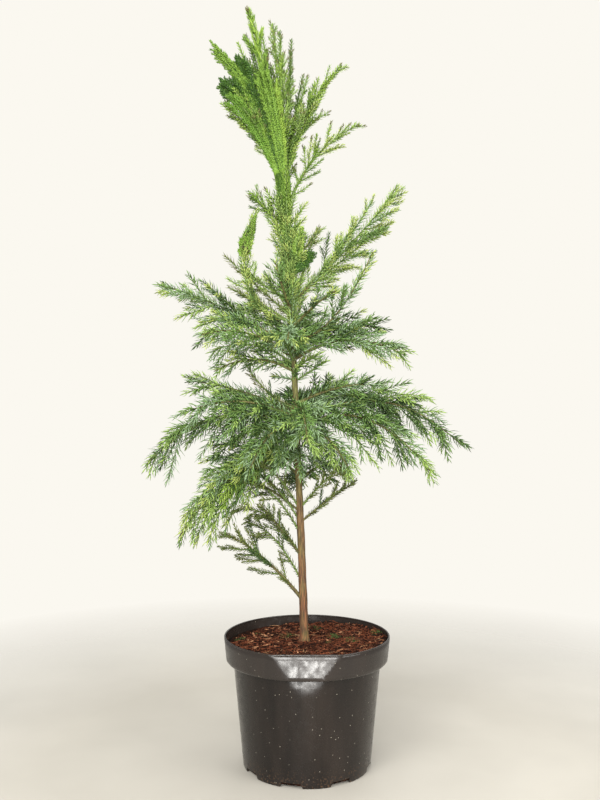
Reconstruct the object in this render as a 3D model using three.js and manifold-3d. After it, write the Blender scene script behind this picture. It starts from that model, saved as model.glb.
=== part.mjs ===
// A young potted cryptomeria with crested growth: nursery pot, soil, trunk, boughs and masses of needles.
// Millimetres, +Z up. The origin is the middle of the pot's flat underside.
// Azimuths are degrees round the pot's axis: 0 is +X, 90 is +Y (the back), 180 is -X, 270 is -Y (the front).

import * as THREE from 'three';
import { mergeVertices } from 'three/addons/utils/BufferGeometryUtils.js';
import Module from 'manifold-3d';

const wasm = await Module();
wasm.setup();

// ---------------------------------------------------------------- driving dimensions

const CLEARANCE = 0.3;          // gap between neighbouring solids

const POT = {
  height: 148,
  rimRadius: 95,
  rimFootRadius: 92.5,          // lower edge of the rim band
  rimBand: 28,                  // height of the rim band
  bodyTopRadius: 84.5,
  footRadius: 73,
  footChamfer: 2,
  wall: 1.8,
  floor: 2.5,
  lip: 1.2,                     // how far the rolled edge is rounded
  facets: 36,
};

const NOTCH = {                 // drain notches where the wall meets the floor
  azimuths: [256, 212, 168, 124, 80, 36, 344, 300],
  wide: 27,
  narrow: 21,                   // across its upper edge
  high: 6,
  deep: 11,                     // from outside the wall in under the floor
};

const SOIL = {
  level: 139,                   // at the trunk's foot
  flatRadius: 15,               // level patch round the trunk
  rightRise: 4,                 // the soil is banked up towards the right rim
  lump: 1.6,
  rings: 5,
};

const TRUNK = {
  foot: SOIL.level + CLEARANCE,
  tip: 706,
  footRadius: 5,
  flareRadius: 7.2,             // at the ground, over the roots' shoulders
  flareHeight: 15,
  tipRadius: 1.7,
  lean: -23,                    // how far the top stands off to the left
  footX: -3,
  backBow: 3,
  sides: 10,
  rings: 18,
};

const LIMB = { baseRadius: 2.3, endRadius: 1.35, sides: 6, steps: 5 };
const LEAST_BARE_LIMB = 0.26;   // a stem that is bare for longer than this share is a bough of its own
const STEM_START = 0.02;        // any other stem begins this share inside the trunk, and is cut clear of it

const SPRAY = {
  stemRadius: 1.5,              // main stem of a mass, where the needles begin
  twigRadius: 1.15,
  tipRadius: 0.55,
  band: 17,                     // length of stem that carries one turn of needles
  out: 8.5,                     // how far a needle stands off its stem
  forward: 10,                 // how far it leans forward
  uneven: 0.3,                  // share by which needles differ
  leastNeedle: 0.35,            // share of its length below which a needle is left out
  heelRadius: 1.9,              // where a stem without a bare bough meets the trunk
  rootLength: 5,                // length of stem that a twig's root takes up
  neck: 3.5,                    // length of a twig before its needles
  leastTwig: 11,
  room: 4.5,                    // free room that a twig's line needs on the way to its tip
  twigSpacing: 15,
  roll: 52,                     // degrees by which a side twig may turn out of its frond's plane
};

const CREST = {                 // lobes of the grown-together head: place, size, and lean to the left
  out: 5,
  lobes: [
    { x: -2, z: 8, width: 30, thick: 16, height: 40, lean: 12 },
    { x: -20, z: 24, width: 18, thick: 12, height: 34, lean: 38 },
  ],
};

// One bough: its name, its height on the trunk, azimuth, reach from the trunk, height of its tip, and lift
// of its middle above the straight line. Then its longest side twig, the share of its stem that is bare,
// and how far its twigs droop. On a round one the twigs stand all round the stem, else mostly to its sides.
// Bulge is how far out its bend lies as a share of its reach: over 1, it turns back in as it rises.
const bough = (name, from, azimuth, reach, tip, lift, look) => ({
  name, from, azimuth, reach, tip, lift, bare: 0.2, bulge: 0.5, round: false, ...look,
});

const BOUGHS = [
  bough('rope_low_left', 186, 183, 88, 263, 4, { twig: 40, bare: 0.42, droop: -0.2 }),
  bough('rope_left_inner', 236, 205, 52, 300, -4, { twig: 26, droop: -0.3 }),
  bough('rope_left_upper', 288, 170, 84, 334, 6, { twig: 28, bare: 0.24, droop: -0.1 }),
  bough('bright_low_left', 346, 192, 136, 264, 30, { twig: 52, bare: 0.28, droop: 0.5 }),
  bough('rope_low_right', 276, 12, 66, 322, 2, { twig: 22, bare: 0.24, droop: -0.2 }),
  bough('low_back', 300, 92, 98, 318, 22, { twig: 42, droop: 0.3 }),
  bough('low_back_left', 330, 134, 96, 316, 20, { twig: 42, droop: 0.4 }),
  bough('low_back_right', 322, 48, 92, 326, 16, { twig: 38, droop: 0.4 }),
  bough('whorl_left_long', 386, 183, 172, 344, 34, { twig: 56, bare: 0.28, droop: 0.8 }),
  bough('whorl_left_back', 402, 163, 134, 441, 6, { twig: 50, bare: 0.24, droop: 0.3 }),
  bough('whorl_left_front', 396, 204, 134, 402, 16, { twig: 46, droop: 0.6 }),
  bough('whorl_right_long', 386, 1, 190, 366, 40, { twig: 58, bare: 0.27, droop: 0.7 }),
  bough('whorl_right_back', 398, 22, 158, 404, 22, { twig: 52, droop: 0.4 }),
  bough('whorl_right_front', 380, 337, 158, 338, 38, { twig: 52, bare: 0.27, droop: 0.6 }),
  bough('whorl_right_top', 412, 352, 98, 434, 8, { twig: 30, droop: 0.1 }),
  bough('whorl_front', 390, 276, 112, 372, 26, { twig: 42, droop: 0.5 }),
  bough('whorl_front_left', 376, 238, 100, 334, 26, { twig: 38, droop: 0.7 }),
  bough('whorl_front_right', 372, 308, 96, 334, 24, { twig: 36, droop: 0.7 }),
  bough('whorl_back', 392, 88, 140, 388, 34, { twig: 46, bare: 0.27, droop: 0.5 }),
  bough('whorl_back_left', 380, 124, 138, 368, 34, { twig: 42, droop: 0.5 }),
  bough('whorl_back_right', 404, 56, 136, 410, 26, { twig: 44, droop: 0.4 }),
  bough('middle_left_long', 474, 176, 152, 550, 10, { twig: 54, bare: 0.27, droop: 0.3 }),
  bough('middle_left_front', 464, 206, 112, 488, 16, { twig: 46, droop: 0.4 }),
  bough('middle_left_low', 450, 186, 92, 450, 14, { twig: 30, droop: 0.4 }),
  bough('middle_right', 464, 357, 128, 468, 20, { twig: 46, bare: 0.27, droop: 0.4 }),
  bough('middle_right_back', 478, 24, 116, 504, 12, { twig: 42, droop: 0.1 }),
  bough('middle_right_upright', 488, 342, 94, 582, -26, { twig: 32, droop: -0.1 }),
  bough('middle_front', 476, 266, 78, 480, 16, { twig: 36, droop: 0.4 }),
  bough('middle_front_right', 500, 314, 68, 536, 4, { twig: 26, droop: 0 }),
  bough('middle_back', 482, 86, 108, 512, 20, { twig: 40, droop: 0.2 }),
  bough('middle_back_left', 492, 132, 104, 532, 12, { twig: 36, droop: 0.1 }),
  bough('upper_right_rising', 530, 358, 124, 662, -6, { twig: 48, bare: 0.27, droop: 0 }),
  bough('upper_left_feather', 508, 194, 42, 634, -24, { twig: 26, bare: 0.25, droop: -0.3, bulge: 2 }),
  bough('upper_left_low', 528, 168, 58, 566, 2, { twig: 32, droop: 0.1 }),
  bough('upper_front', 556, 292, 30, 610, -8, { twig: 24, droop: 0, round: true }),
  bough('upper_back', 552, 98, 74, 622, 0, { twig: 32, droop: 0 }),
  bough('upper_back_right', 572, 44, 50, 622, 0, { twig: 24, droop: 0 }),
  bough('neck_left', 598, 184, 42, 656, -8, { twig: 26, bare: 0.16, droop: -0.2, round: true }),
  bough('neck_front', 606, 262, 22, 678, -8, { twig: 20, bare: 0.16, droop: -0.3, round: true }),
  bough('middle_front_high', 520, 246, 44, 570, -4, { twig: 30, droop: 0, round: true }),
  bough('neck_right', 634, 4, 84, 738, -14, { twig: 30, bare: 0.24, droop: -0.1 }),
  bough('neck_back', 650, 100, 48, 752, -12, { twig: 22, bare: 0.24, droop: -0.2, round: true }),
  bough('top_right', 664, 358, 64, 802, -22, { twig: 32, bare: 0.24, droop: -0.1 }),
  bough('top_left', 672, 172, 72, 766, -18, { twig: 22, droop: -0.2 }),
  bough('crest', 686, 194, 50, 772, -10, { twig: 20, droop: -0.3, round: true }),
  bough('top_middle', 682, 128, 24, 860, -6, { twig: 26, droop: -0.4, round: true }),
  bough('top_front', 690, 262, 22, 806, -8, { twig: 26, droop: -0.4, round: true }),
];

const LEADER = bough('leader', TRUNK.tip - 5, 183, 41, 866, -2, {
  twig: 30, bare: 0.06, droop: -0.4, round: true,
});

const COLOURS = {
  pot: { color: 0x24211f, roughness: 0.32, metalness: 0 },
  soil: { color: 0x5a3524, roughness: 0.95, metalness: 0 },
  bark: { color: 0x7d5b38, roughness: 0.85, metalness: 0 },
  bough: { color: 0x76743c, roughness: 0.8, metalness: 0 },
  lowNeedles: { color: 0x4a5a33, roughness: 0.6, metalness: 0 },
  needles: { color: 0x5f8045, roughness: 0.6, metalness: 0 },
  topNeedles: { color: 0x6a9a34, roughness: 0.6, metalness: 0 },
};
const TOP_FROM = 600;           // masses that leave the trunk above this height are bright green
const LOW_UNDER = 340;          // and those under this one a dark olive green

// ---------------------------------------------------------------- small helpers

const UP = new THREE.Vector3(0, 0, 1);
const radians = THREE.MathUtils.degToRad;
const lerp = THREE.MathUtils.lerp;
const clamp = THREE.MathUtils.clamp;

// A repeatable stream of numbers from 0 to 1.
function seededRandom(seed) {
  let state = seed >>> 0;
  return () => {
    state = (state + 0x6d2b79f5) >>> 0;
    let mixed = Math.imul(state ^ (state >>> 15), state | 1);
    mixed ^= mixed + Math.imul(mixed ^ (mixed >>> 7), mixed | 61);
    return ((mixed ^ (mixed >>> 14)) >>> 0) / 4294967296;
  };
}

function closedGeometry(corners, triangles) {
  const geometry = new THREE.BufferGeometry();
  const places = corners.flatMap(({ x, y, z }) => [x, y, z]);
  geometry.setAttribute('position', new THREE.Float32BufferAttribute(places, 3));
  geometry.setIndex(triangles.flat());
  return geometry;
}

function toSolid(geometry) {
  const bare = geometry.clone();
  bare.deleteAttribute('normal');
  bare.deleteAttribute('uv');
  const merged = mergeVertices(bare, 1e-4);
  return new wasm.Manifold(new wasm.Mesh({
    numProp: 3,
    vertProperties: new Float32Array(merged.attributes.position.array),
    triVerts: new Uint32Array(merged.index.array),
  }));
}

function toGeometry(solid) {
  const mesh = solid.getMesh();
  const geometry = new THREE.BufferGeometry();
  geometry.setAttribute('position', new THREE.BufferAttribute(new Float32Array(mesh.vertProperties), 3));
  geometry.setIndex(new THREE.BufferAttribute(new Uint32Array(mesh.triVerts), 1));
  return geometry;
}

// The largest body of a solid, without the scraps that a cut leaves.
function largestBody(solid) {
  return solid.decompose().sort((a, b) => b.volume() - a.volume())[0];
}

function namedMesh(name, geometry, finish) {
  const flat = geometry.index ? geometry.toNonIndexed() : geometry;
  flat.computeVertexNormals();
  const mesh = new THREE.Mesh(flat, new THREE.MeshStandardMaterial({ ...finish, flatShading: true }));
  mesh.name = name;
  return mesh;
}

// ---------------------------------------------------------------- pot and soil

// Radius of the wall's outer face at a height, for the body below the rim band.
function bodyRadius(height) {
  return lerp(POT.footRadius, POT.bodyTopRadius, height / (POT.height - POT.rimBand));
}

function potShell() {
  const shoulder = POT.height - POT.rimBand;
  const profile = [
    [0, 0],
    [POT.footRadius - POT.footChamfer, 0],
    [bodyRadius(POT.footChamfer), POT.footChamfer],
    [bodyRadius(shoulder), shoulder],
    [POT.rimFootRadius - POT.lip, shoulder + 0.2],
    [POT.rimFootRadius, shoulder + POT.lip],
    [POT.rimRadius, POT.height - 2 * POT.lip],
    [POT.rimRadius + POT.lip * 0.3, POT.height - POT.lip],
    [POT.rimRadius - POT.lip, POT.height],
    [POT.rimRadius - 2 * POT.lip, POT.height - POT.lip],
    [POT.rimFootRadius - POT.wall, shoulder + 2 * POT.wall],
    [bodyRadius(shoulder) - POT.wall, shoulder],
    [bodyRadius(POT.floor) - POT.wall, POT.floor],
    [0, POT.floor],
  ];
  const lathe = new THREE.LatheGeometry(profile.map(([r, z]) => new THREE.Vector2(r, z)), POT.facets);
  return toSolid(lathe.rotateX(Math.PI / 2));
}

// A trapezium, widest at the ground, driven through the corner of wall and floor.
function notchCutter(azimuth) {
  const outline = new THREE.Shape();
  outline.moveTo(-NOTCH.wide / 2, -1);
  outline.lineTo(NOTCH.wide / 2, -1);
  outline.lineTo(NOTCH.narrow / 2, NOTCH.high);
  outline.lineTo(-NOTCH.narrow / 2, NOTCH.high);
  const bar = new THREE.ExtrudeGeometry(outline, { depth: NOTCH.deep + 4, bevelEnabled: false });
  bar.rotateX(Math.PI / 2);
  bar.rotateZ(Math.PI / 2);
  bar.translate(POT.footRadius - NOTCH.deep, 0, 0);
  bar.rotateZ(radians(azimuth));
  return toSolid(bar);
}

function makePot() {
  const pot = NOTCH.azimuths.reduce((shell, azimuth) => shell.subtract(notchCutter(azimuth)), potShell());
  return namedMesh('pot', toGeometry(pot), COLOURS.pot);
}

// Height of the soil's surface: level at the trunk, banked to the right, with shallow lumps.
function soilHeight(x, y) {
  const fromTrunk = Math.hypot(x - TRUNK.footX, y);
  const away = clamp((fromTrunk - SOIL.flatRadius) / 30, 0, 1);
  const broad = Math.sin(x * 0.13 + 1) * Math.cos(y * 0.11);
  const fine = Math.sin(x * 0.31) * Math.sin(y * 0.27 + 2);
  const bank = SOIL.rightRise * (x / POT.footRadius - 0.35);
  return SOIL.level + away * (bank + SOIL.lump * (broad + 0.6 * fine));
}

// Radius of the inner face of the rim band at a height.
function rimInnerRadius(height) {
  const along = (height - (POT.height - POT.rimBand)) / POT.rimBand;
  return lerp(POT.rimFootRadius - POT.wall, POT.rimRadius - 2 * POT.lip, along);
}

function makeSoil() {
  const inner = (height) => bodyRadius(height) - POT.wall - CLEARANCE;
  const shoulder = POT.height - POT.rimBand;
  const ledge = shoulder + 2 * POT.wall;
  const edge = rimInnerRadius(SOIL.level) - 2 * CLEARANCE;
  const profile = [
    [0, POT.floor + CLEARANCE],
    [inner(POT.floor) - CLEARANCE, POT.floor + CLEARANCE],
    [inner(shoulder), shoulder + CLEARANCE],
    [rimInnerRadius(ledge) - 2 * CLEARANCE, ledge + 2 * CLEARANCE],
  ];
  for (let ring = 0; ring < SOIL.rings; ring += 1) {
    profile.push([lerp(edge, SOIL.flatRadius, ring / (SOIL.rings - 1)), SOIL.level]);
  }
  profile.push([0, SOIL.level]);
  const lathe = new THREE.LatheGeometry(profile.map(([r, z]) => new THREE.Vector2(r, z)), POT.facets);
  lathe.rotateX(Math.PI / 2);
  const place = lathe.attributes.position;
  for (let i = 0; i < place.count; i += 1) {
    if (place.getZ(i) > SOIL.level - 0.01) {
      place.setZ(i, soilHeight(place.getX(i), place.getY(i)));
    }
  }
  return namedMesh('soil', toGeometry(toSolid(lathe)), COLOURS.soil);
}

// ---------------------------------------------------------------- trunk

function trunkPoint(height) {
  const along = Math.max(0, (height - TRUNK.foot) / (TRUNK.tip - TRUNK.foot));
  const bow = TRUNK.backBow * Math.sin(Math.PI * along);
  return new THREE.Vector3(TRUNK.footX + TRUNK.lean * along ** 1.15, bow, height);
}

function trunkRadius(height) {
  const along = (height - TRUNK.foot) / (TRUNK.tip - TRUNK.foot);
  const fade = Math.exp((-3 * (height - TRUNK.foot)) / TRUNK.flareHeight);
  const flare = (TRUNK.flareRadius - TRUNK.footRadius) * fade;
  return lerp(TRUNK.footRadius, TRUNK.tipRadius, along) + flare;
}

// A stack of level rings, so that the foot is cut flat. Extra is added to the radius all round.
function trunkSolid(extra) {
  const corners = [];
  const triangles = [];
  for (let ring = 0; ring < TRUNK.rings; ring += 1) {
    const along = (ring / (TRUNK.rings - 1)) ** 1.35;
    const reachDown = ring === 0 ? extra : 0;
    const height = lerp(TRUNK.foot, TRUNK.tip + extra, along) - reachDown;
    const middle = trunkPoint(height);
    const radius = trunkRadius(Math.max(height, TRUNK.foot)) + extra;
    for (let side = 0; side < TRUNK.sides; side += 1) {
      const turn = (2 * Math.PI * side) / TRUNK.sides;
      const spoke = new THREE.Vector3(Math.cos(turn), Math.sin(turn), 0);
      corners.push(middle.clone().addScaledVector(spoke, radius));
    }
  }
  const at = (ring, side) => ring * TRUNK.sides + (side % TRUNK.sides);
  for (let ring = 0; ring < TRUNK.rings - 1; ring += 1) {
    for (let side = 0; side < TRUNK.sides; side += 1) {
      triangles.push([at(ring, side), at(ring, side + 1), at(ring + 1, side + 1)]);
      triangles.push([at(ring, side), at(ring + 1, side + 1), at(ring + 1, side)]);
    }
  }
  for (let side = 1; side < TRUNK.sides - 1; side += 1) {
    triangles.push([at(0, 0), at(0, side + 1), at(0, side)]);
    triangles.push([at(TRUNK.rings - 1, 0), at(TRUNK.rings - 1, side), at(TRUNK.rings - 1, side + 1)]);
  }
  return toSolid(closedGeometry(corners, triangles));
}

// ---------------------------------------------------------------- the rule that stems and twigs follow

// The stem of a bough: one arched curve from the trunk's middle to the tip.
function stemCurve(row) {
  const start = trunkPoint(row.from);
  const outward = new THREE.Vector3(Math.cos(radians(row.azimuth)), Math.sin(radians(row.azimuth)), 0);
  const tip = start.clone().addScaledVector(outward, row.reach).setZ(row.tip);
  const middle = start.clone().addScaledVector(outward, row.reach * row.bulge);
  middle.z = (row.from + row.tip) / 2 + 2 * row.lift;
  return new THREE.QuadraticBezierCurve3(start, middle, tip);
}

// Directions across a stem: one level, to its side, and one square to both.
function acrossStem(tangent, azimuth) {
  const level = new THREE.Vector3(-Math.sin(radians(azimuth)), Math.cos(radians(azimuth)), 0);
  level.addScaledVector(tangent, -level.dot(tangent)).normalize();
  return { level, upper: new THREE.Vector3().crossVectors(tangent, level).normalize() };
}

// Length of a twig against the longest: short at the first, full a third of the way along, short at the tip.
function twigShare(along) {
  return along < 0.35 ? lerp(0.65, 1, along / 0.35) : lerp(1, 0.34, (along - 0.35) / 0.65);
}

// The side twigs of a stem: alternate, leaning forward, and drooping or rising at their ends.
function twigsOf(row, stem, seed) {
  const random = seededRandom(seed);
  const leafy = stem.getLength() * (1 - row.bare);
  const count = Math.max(3, Math.round(leafy / SPRAY.twigSpacing));
  const twigs = [];
  for (let i = 0; i < count; i += 1) {
    const along = (i + 0.3 + 0.4 * random()) / count;
    const t = lerp(row.bare, 0.97, along);
    const root = stem.getPoint(t);
    const tangent = stem.getTangent(t).normalize();
    const { level, upper } = acrossStem(tangent, row.azimuth);
    const roll = (i % 2) * 180 + lerp(-SPRAY.roll, SPRAY.roll, random());
    const turn = radians(row.round ? 137.5 * i + 40 : roll);
    const side = level.clone().multiplyScalar(Math.cos(turn)).addScaledVector(upper, Math.sin(turn));
    const lean = radians(lerp(54, 36, along) + lerp(-6, 6, random()));
    const length = row.twig * twigShare(along) * lerp(0.82, 1.15, random());
    twigs.push({ curve: twigCurve(root, tangent, side, lean, length, row.droop), rootT: t, side });
  }
  return twigs;
}

function twigCurve(root, tangent, side, lean, length, droop) {
  const heading = tangent.clone().multiplyScalar(Math.cos(lean)).addScaledVector(side, Math.sin(lean));
  const middle = root.clone().addScaledVector(heading, length * 0.5);
  const tip = root.clone().addScaledVector(heading, length);
  tip.addScaledVector(tangent, length * 0.12);
  tip.z -= droop * length * 0.6;
  return new THREE.QuadraticBezierCurve3(root, middle, tip);
}

// ---------------------------------------------------------------- keeping each mass to its own space

// Every stem and twig laid down so far, as short straight pieces with a radius and an owner.
const laidPieces = [];

function layCurve(curve, owner, radius, fromT = 0, steps = 4) {
  for (let i = 0; i < steps; i += 1) {
    const a = curve.getPoint(lerp(fromT, 1, i / steps));
    const b = curve.getPoint(lerp(fromT, 1, (i + 1) / steps));
    laidPieces.push({ line: new THREE.Line3(a, b), owner, curve, radius });
  }
}

function layTrunk() {
  for (let height = TRUNK.foot; height < TRUNK.tip; height += 20) {
    const top = Math.min(height + 20, TRUNK.tip);
    const line = new THREE.Line3(trunkPoint(height), trunkPoint(top));
    laidPieces.push({ line, owner: 'trunk', radius: trunkRadius(height) });
  }
}

const nearest = new THREE.Vector3();

// Free distance from a point to whatever else has been laid down.
function roomAt(point, owner) {
  let room = Infinity;
  for (const piece of laidPieces) {
    if (piece.owner !== owner) {
      piece.line.closestPointToPoint(point, true, nearest);
      room = Math.min(room, nearest.distanceTo(point) - piece.radius);
    }
  }
  return room;
}

// Whether a needle's point lies nearer to its own stem or twig than to any other.
function isOwnSpace(point, curve) {
  let own = Infinity;
  let other = Infinity;
  for (const piece of laidPieces) {
    piece.line.closestPointToPoint(point, true, nearest);
    const distance = nearest.distanceTo(point);
    if (piece.curve === curve) {
      own = Math.min(own, distance);
    } else {
      other = Math.min(other, distance - piece.radius);
    }
  }
  return own + CLEARANCE < other;
}

function twigFits(curve, owner) {
  const checked = [0.3, 0.5, 0.7, 0.85, 1];
  return checked.every((t) => {
    const point = curve.getPoint(t);
    return roomAt(point, owner) > SPRAY.room && point.z < LEADER.tip && point.z > SOIL.level + 40;
  });
}

// Shortens a twig until it fits, or gives nothing where it would be too short.
function fittedTwig(curve, owner) {
  let candidate = curve;
  while (candidate.getLength() > SPRAY.leastTwig) {
    if (twigFits(candidate, owner)) {
      return candidate;
    }
    const root = candidate.v0;
    candidate = new THREE.QuadraticBezierCurve3(
      root,
      root.clone().lerp(candidate.v1, 0.8),
      root.clone().lerp(candidate.v2, 0.8),
    );
  }
  return null;
}

// ---------------------------------------------------------------- needles and limbs

// Grows one mass as a single closed skin. A stem is a chain of three-cornered rings, each turned a sixth of
// a circle against the last. Between two rings lie six faces, and a face is left plain, drawn out into a
// needle that leans forward, or drawn out into a whole side twig.
class SprayMesh {
  constructor(azimuth, random) {
    this.azimuth = azimuth;
    this.random = random;
    this.corners = [];
    this.triangles = [];
  }

  addCorner(point) {
    this.corners.push(point);
    return this.corners.length - 1;
  }

  addRing(curve, t, radius, turn) {
    const middle = curve.getPoint(t);
    const { level, upper } = acrossStem(curve.getTangent(t).normalize(), this.azimuth);
    return [0, 1, 2].map((corner) => {
      const angle = turn + radians(120 * corner);
      const spoke = level.clone().multiplyScalar(Math.cos(angle)).addScaledVector(upper, Math.sin(angle));
      return this.addCorner(middle.clone().addScaledVector(spoke, radius));
    });
  }

  outwardOf([a, b, c]) {
    const [p, q, r] = [this.corners[a], this.corners[b], this.corners[c]];
    return new THREE.Vector3().crossVectors(q.clone().sub(p), r.clone().sub(p)).normalize();
  }

  middleOf([a, b, c]) {
    return this.corners[a].clone().add(this.corners[b]).add(this.corners[c]).divideScalar(3);
  }

  // The six faces between two rings.
  facesBetween(ring, next) {
    return [0, 1, 2].flatMap((i) => {
      const j = (i + 1) % 3;
      return [[ring[i], ring[j], next[i]], [ring[j], next[j], next[i]]];
    });
  }

  // Draws a face out into a needle, shorter where it would leave its own twig's space, or leaves it plain.
  needle(face, curve, forward) {
    const foot = this.middleOf(face);
    const outward = this.outwardOf(face);
    for (let scale = 1 + SPRAY.uneven * (this.random() - 0.5); scale > SPRAY.leastNeedle; scale *= 0.8) {
      const point = foot.clone()
        .addScaledVector(outward, SPRAY.out * scale)
        .addScaledVector(forward, SPRAY.forward * scale);
      if (isOwnSpace(point, curve) && point.z < LEADER.tip) {
        this.tent(face, this.addCorner(point));
        return;
      }
    }
    this.triangles.push(face);
  }

  // Three faces from the edges of a face to a point.
  tent([a, b, c], point) {
    this.triangles.push([a, b, point], [b, c, point], [c, a, point]);
  }

  // Needle-bearing bands from a ring to a curve's tip.
  leafyEnd(curve, ring, fromT, radius, turn) {
    const bands = Math.max(1, Math.round((curve.getLength() * (1 - fromT)) / SPRAY.band));
    let last = ring;
    for (let band = 1; band < bands; band += 1) {
      const t = lerp(fromT, 1, band / bands);
      const slimmer = lerp(radius, SPRAY.tipRadius, band / bands);
      const next = this.addRing(curve, t, slimmer, turn + radians(60 * band));
      const forward = curve.getTangent(t).normalize();
      this.facesBetween(last, next).forEach((face) => this.needle(face, curve, forward));
      last = next;
    }
    this.tent(last, this.addCorner(curve.getPoint(1)));
  }

  // Draws a face out into a twig: a short neck as wide as the face, then needles to the tip.
  growTwig(face, curve) {
    const neckT = Math.min(0.4, SPRAY.neck / curve.getLength());
    const middle = curve.getPoint(neckT);
    const tangent = curve.getTangent(neckT).normalize();
    const first = this.corners[face[0]].clone().sub(this.middleOf(face));
    first.addScaledVector(tangent, -first.dot(tangent)).normalize();
    const second = new THREE.Vector3().crossVectors(tangent, first);
    const neck = [0, 1, 2].map((corner) => {
      const angle = radians(120 * corner);
      const spoke = first.clone().multiplyScalar(Math.cos(angle)).addScaledVector(second, Math.sin(angle));
      return this.addCorner(middle.clone().addScaledVector(spoke, SPRAY.twigRadius));
    });
    [0, 1, 2].forEach((i) => {
      const j = (i + 1) % 3;
      this.triangles.push([face[i], face[j], neck[j]], [face[i], neck[j], neck[i]]);
    });
    const { level, upper } = acrossStem(tangent, this.azimuth);
    const turn = Math.atan2(first.dot(upper), first.dot(level));
    this.leafyEnd(curve, neck, neckT, SPRAY.twigRadius, turn);
  }

  // A whole mass: the stem's rings stand close together where a twig leaves, and apart where needles stand.
  growMass(row, stem, startT, twigs) {
    const half = SPRAY.rootLength / 2 / stem.getLength();
    const leafyShare = (at) => clamp((at - row.bare) / (1 - row.bare), 0, 1);
    const radiusAt = (at) => lerp(SPRAY.stemRadius, SPRAY.tipRadius, leafyShare(at));
    let t = startT;
    let turn = 0;
    let ring = this.addRing(stem, t, startT < row.bare ? SPRAY.heelRadius : radiusAt(t), turn);
    this.triangles.push([ring[0], ring[2], ring[1]]);
    const step = (toT, treat) => {
      turn += radians(60);
      const next = this.addRing(stem, toT, radiusAt(toT), turn);
      this.facesBetween(ring, next).forEach(treat);
      ring = next;
      t = toT;
    };
    const plain = (face) => this.triangles.push(face);
    if (startT < row.bare) {
      step(row.bare, plain);
    }
    for (const { curve, rootT, side } of twigs) {
      const forward = stem.getTangent(rootT).normalize();
      if (rootT - half > t + half) {
        step(rootT - half, (face) => this.needle(face, stem, forward));
      }
      step(rootT + half, plain);
      const recent = this.triangles.splice(-6);
      const facing = (face) => this.outwardOf(face).dot(side);
      const chosen = recent.reduce((best, face) => (facing(face) > facing(best) ? face : best));
      this.triangles.push(...recent.filter((face) => face !== chosen));
      this.growTwig(chosen, curve);
    }
    this.leafyEnd(stem, ring, t, radiusAt(t), turn);
  }

  solid() {
    return toSolid(closedGeometry(this.corners, this.triangles));
  }
}

// A bare tapering limb along the first part of a stem.
function limbSolid(row, curve) {
  const corners = [];
  const triangles = [];
  const { sides, steps } = LIMB;
  for (let ring = 0; ring <= steps; ring += 1) {
    const t = (row.bare * ring) / steps;
    const tangent = curve.getTangent(t).normalize();
    const { level, upper } = acrossStem(tangent, row.azimuth);
    const radius = lerp(LIMB.baseRadius, LIMB.endRadius, ring / steps);
    for (let side = 0; side < sides; side += 1) {
      const turn = (2 * Math.PI * side) / sides;
      const spoke = level.clone().multiplyScalar(Math.cos(turn)).addScaledVector(upper, Math.sin(turn));
      corners.push(curve.getPoint(t).addScaledVector(spoke, radius));
    }
  }
  const at = (ring, side) => ring * sides + (side % sides);
  for (let ring = 0; ring < steps; ring += 1) {
    for (let side = 0; side < sides; side += 1) {
      triangles.push([at(ring, side), at(ring, side + 1), at(ring + 1, side + 1)]);
      triangles.push([at(ring, side), at(ring + 1, side + 1), at(ring + 1, side)]);
    }
  }
  for (let side = 1; side < sides - 1; side += 1) {
    triangles.push([at(0, 0), at(0, side + 1), at(0, side)]);
    triangles.push([at(steps, 0), at(steps, side), at(steps, side + 1)]);
  }
  return toSolid(closedGeometry(corners, triangles));
}

// One lobe of the crest: a flattened ball whose faces are drawn out into short needles.
function crestLobe(lobe, foot, owner) {
  const ball = new THREE.IcosahedronGeometry(0.5, 1);
  ball.deleteAttribute('normal');
  ball.deleteAttribute('uv');
  const merged = mergeVertices(ball, 1e-4);
  merged.scale(lobe.width, lobe.thick, lobe.height);
  merged.rotateY(-radians(lobe.lean));
  const centre = foot.clone().add(new THREE.Vector3(lobe.x, 0, lobe.z));
  merged.translate(centre.x, centre.y, centre.z);
  const spray = new SprayMesh(0, () => 0.5);
  const place = merged.attributes.position;
  for (let i = 0; i < place.count; i += 1) {
    spray.addCorner(new THREE.Vector3().fromBufferAttribute(place, i));
  }
  const faces = merged.index.array;
  for (let i = 0; i < faces.length; i += 3) {
    const face = [faces[i], faces[i + 1], faces[i + 2]];
    const outward = spray.outwardOf(face);
    const point = spray.middleOf(face)
      .addScaledVector(outward, CREST.out)
      .addScaledVector(UP, CREST.out * 0.6);
    if (outward.z > -0.5 && roomAt(point, owner) > CREST.out) {
      spray.tent(face, spray.addCorner(point));
    } else {
      spray.triangles.push(face);
    }
  }
  return spray.solid();
}

// The crest: a broad folded head where the shoots have grown together, bristling all over.
function crestSolid(row, stem) {
  const lobes = CREST.lobes.map((lobe) => crestLobe(lobe, stem.getPoint(1), row.name));
  return lobes.reduce((head, lobe) => head.add(lobe));
}

// ---------------------------------------------------------------- putting the plant together

const isLimb = (row) => row.bare >= LEAST_BARE_LIMB;

function needleFinish(row) {
  if (row.from > TOP_FROM) {
    return COLOURS.topNeedles;
  }
  return row.from < LOW_UNDER ? COLOURS.lowNeedles : COLOURS.needles;
}

function planPlant() {
  layTrunk();
  const rows = [LEADER, ...BOUGHS];
  const plans = rows.map((row, index) => ({ row, stem: stemCurve(row), seed: 1000 + 37 * index }));
  plans.forEach(({ row, stem }) => layCurve(stem, row.name, SPRAY.stemRadius, 0.04, 8));
  plans.forEach((plan) => {
    plan.twigs = twigsOf(plan.row, plan.stem, plan.seed)
      .map((twig) => ({ ...twig, curve: fittedTwig(twig.curve, plan.row.name) }))
      .filter((twig) => twig.curve !== null);
    plan.twigs.forEach((twig) => layCurve(twig.curve, plan.row.name, SPRAY.tipRadius, 0.15, 3));
  });
  return plans;
}

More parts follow.
